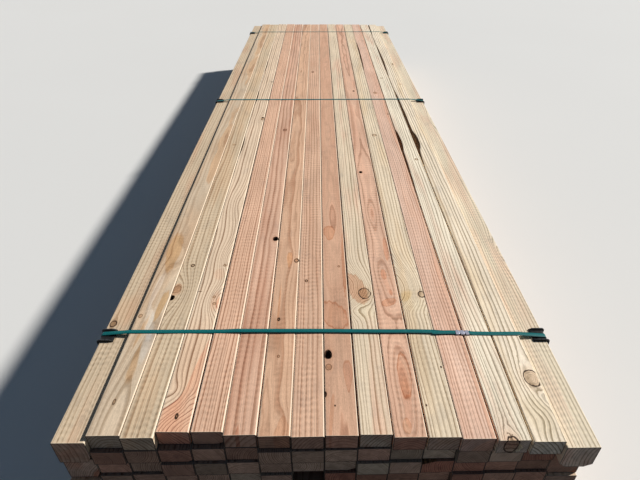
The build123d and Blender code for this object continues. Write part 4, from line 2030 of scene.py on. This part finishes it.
@dataclass
class CornerProtector:
    """One moulded angle that keeps a strap off the outer top arris; side is -1 on the left.

    Each end has a tall rim that holds the strap in, and low ribs run beside it. The legs' outer
    ends bow off the timber by bow.
    """

    node: str
    side: int
    sizes: StackSizes = field(default_factory=StackSizes)
    length: float = 41.0
    plate: float = 2.6
    top_leg: float = 34.0
    side_leg: float = 38.0
    corner_radius: float = 5.0
    rim_height: float = 4.6
    rim_width: float = 3.0
    rim_ramp: float = 9.0
    rim_radius: float = 8.0
    rib_height: float = 0.9
    inner_radius: float = 2.2
    bow: float = 0.25

    def stations(self) -> list[Line]:
        """Places along the protector, and how proud each is of the plate.

        Returns:
            Each place from the protector's middle, with its height over the plate.
        """
        half, rim, rib = self.length / 2, self.rim_height, self.rib_height
        foot = half - self.rim_width
        one_side = [
            (half, rim - 0.7), (half - 0.25, rim - 0.2), (half - 0.8, rim),
            (foot + 0.9, rim), (foot + 0.3, rim - 0.25), (foot, rim - 0.8),
            (foot - 0.4, 0.5), (foot - 0.9, 0.0), (15.0, 0.0), (14.6, rib * 0.8),
            (14.1, rib), (13.6, rib * 0.8), (13.2, 0.0), (8.0, 0.0),
        ]
        return [(-y, p) for y, p in one_side] + one_side[::-1]

    def outline(self, proud: float) -> list[tuple[float, float, float]]:
        """The section about the arris, for a rim or rib this proud of the plate.

        Args:
            proud: How far the outer face stands above the plate.

        Returns:
            Outward, up, and each point's share of scuff and painted highlight.
        """
        top = self.plate + proud
        share = proud / self.rim_height
        radius = self.corner_radius + (self.rim_radius - self.corner_radius) * share
        rub = 1.0 if share > 0.9 else 0.3 * share
        inner = arc(-self.inner_radius, -self.inner_radius, self.inner_radius, (0, 30, 60, 90))
        outer = arc(top - radius, top - radius, radius, (90, 72, 54, 36, 18, 0))
        points = [(0.0, -self.side_leg, 0.0), *((out, up, 0.0) for out, up in inner)]
        points += [
            (-self.top_leg, 0.0, 0.0), (-self.top_leg, self.plate - 0.5, 0.0),
            (0.5 - self.top_leg, self.plate, 0.2 * rub),
            (self.rim_ramp - self.top_leg, top, rub), (-12.0, top, rub),
        ]
        points += [(out, up, rub) for out, up in outer]
        return points + [
            (top, -14.0, rub), (top, self.rim_ramp - self.side_leg, rub),
            (self.plate, 0.5 - self.side_leg, 0.2 * rub),
            (self.plate - 0.5, -self.side_leg, 0.0),
        ]

    def build(self, finish: bpy.types.Material) -> None:
        """Draw, dress and place the protector.

        Args:
            finish: Its material.
        """
        low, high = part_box(self.node)
        middle = (low.y + high.y) / 2 / MM
        shell = Shell()
        rows = []
        for y, proud in self.stations():
            ring = []
            for out, up, rub in self.outline(proud):
                bow = self.bow * eased(20.0, 38.0, max(-out, -up))
                spot = (
                    self.side * (self.sizes.outer_half + out + (bow if up < -5 else 0.0)),
                    middle + y,
                    self.sizes.side_top + up + (bow if out < -5 else 0.0),
                )
                ring.append(shell.point(spot, band=Vector((out, y, up)) * MM, rub=rub))
            rows.append(ring[:: self.side])
        shell.skin(rows, (0.01, 0.01, 0.98, 0.80))
        shell.lid(rows[0], (0.01, 0.83, 0.3, 0.16), False)
        shell.lid(rows[-1], (0.4, 0.83, 0.3, 0.16), True)
        shell.piece(self.node, "moulded", finish, "black_plastic")


@dataclass
class Strapping:
    """The three straps with their seals and corner protectors."""

    near_bow: tuple[Line, ...] = (
        (-600.0, 3.0), (-260.0, 3.0), (-50.0, 2.0), (190.0, -1.0), (455.0, -9.5), (600.0, -9.5),
    )
    near_crown: float = 2.6

    def build(self) -> None:
        """Build every strap, seal and protector."""
        band = BandFinish().material()
        zinc = ZincFinish().material()
        plastic = MouldedFinish().material()
        for name, on_top in (("near", True), ("middle", False), ("far", False)):
            low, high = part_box(f"{name}_strap")
            strap = Strap(name, (low.y + high.y) / 2 / MM, on_top)
            if name == "near":
                strap.bow, strap.crown = self.near_bow, self.near_crown
            strap.build(band)
            Seal(strap).build(zinc)
            for side, word in ((-1, "left"), (1, "right")):
                CornerProtector(f"{name}_{word}_corner_protector", side).build(plastic)


@dataclass
class Studio:
    """The pale floor, the soft lights and the camera.

    The camera stands and looks as the photograph's did: its place is in metres in the frame, down
    is how far it looks below the horizon, turned how far to the left and rolled how far it leans
    to the left, in degrees.
    """

    camera_place: tuple[float, float, float] = (-0.011, -2.6076, 1.2693)
    down: float = 34.926
    turned: float = -0.211
    rolled: float = -0.087
    lens: float = 27.567
    sensor: float = 36.0
    floor_size: float = 60.0
    floor_colour: Colour = (232.0, 232.0, 230.0)
    floor_bounce: Colour = (128.0, 128.0, 128.0)
    key_from: tuple[float, float, float] = (0.76, 0.30, 0.56)
    key_strength: float = 4.65
    key_angle: float = 5.0
    key_colour: Colour = (1.0, 0.965, 0.915)
    sky_colour: tuple[float, ...] = (0.46, 0.68, 1.0, 1.0)
    backdrop: tuple[float, ...] = (0.95, 0.98, 1.0, 1.0)
    sky_strength: float = 0.105
    sky_seen: float = 0.92

    def build(self) -> None:
        """Set up everything that isn't part of the stack."""
        self.add_floor()
        self.add_lights()
        self.add_camera()
        bpy.context.scene.view_settings.view_transform = "Standard"
        log.info("studio: floor, key light, sky and camera")

    def add_floor(self) -> None:
        """A plain pale floor that the stack stands on."""
        half = self.floor_size / 2
        corners = [(-half, -half, 0.0), (half, -half, 0.0), (half, half, 0.0), (-half, half, 0.0)]
        mesh = bpy.data.meshes.new("floor")
        mesh.from_pydata(corners, [], [(0, 1, 2, 3)])
        surface = Surface("pale floor")
        place = surface.read("NewGeometry", output="Position")
        faint = surface.grain((1.6, 1.6, 1.6), 1, 2.0, place)
        pale = faint.spread(0.985, 1.015).on(paint(self.floor_colour))
        colour = surface.seen().blend(paint(self.floor_bounce), pale)
        mesh.materials.append(surface.finish(colour, 0.9, faint, 0.0, Specular_IOR_Level=0.2))
        floor = placed("floor", mesh)

    def add_lights(self) -> None:
        """A soft key light from the right and the far end, and an even sky."""
        lamp = bpy.data.lights.new("key", "SUN")
        lamp.energy = self.key_strength
        lamp.angle = math.radians(self.key_angle)
        lamp.color = self.key_colour
        light = placed("key", lamp)
        light.rotation_euler = Vector(self.key_from).to_track_quat("Z", "Y").to_euler()
        world = bpy.data.worlds.new("studio sky")
        bpy.context.scene.world = world
        world.use_nodes = True
        graph = Graph(world.node_tree)
        graph.tree.nodes.clear()
        seen = graph.seen()
        colour = seen.blend(self.sky_colour, self.backdrop)
        strength = seen.spread(self.sky_strength, self.sky_seen)
        graph.add("OutputWorld", {0: graph.read("Background", {0: colour, 1: strength})})

    def add_camera(self) -> None:
        """The camera at the photograph's viewing angle, for an image of 640 by 480."""
        lens = bpy.data.cameras.new("camera")
        lens.lens = self.lens
        lens.sensor_width = self.sensor
        lens.clip_end = 100.0
        camera = placed("camera", lens)
        camera.location = self.camera_place
        turns = (
            Matrix.Rotation(math.radians(self.turned), 3, "Z")
            @ Matrix.Rotation(math.radians(90.0 - self.down), 3, "X")
            @ Matrix.Rotation(math.radians(self.rolled), 3, "Z")
        )
        camera.rotation_euler = turns.to_euler()
        bpy.context.scene.camera = camera


def main() -> None:
    """Build every part of the stack in order."""
    logging.basicConfig(level=logging.INFO, format="%(message)s")
    Studio().build()
    HiddenLayers().build()
    TopLayer().build()
    left_wane = {5: (Wane(1, -1, 0, 800, 9, 22),), 4: (Wane(1, -1, 0, 1200, 10, 20),)}
    SideColumn(-1, left_wane).build()
    right_wane = {5: (Wane(-1, -1, 0, 500, 14, 12), Wane(1, -1, 0, 420, 16, 9))}
    SideColumn(1, right_wane).build()
    Strapping().build()


if __name__ == "__main__":
    main()
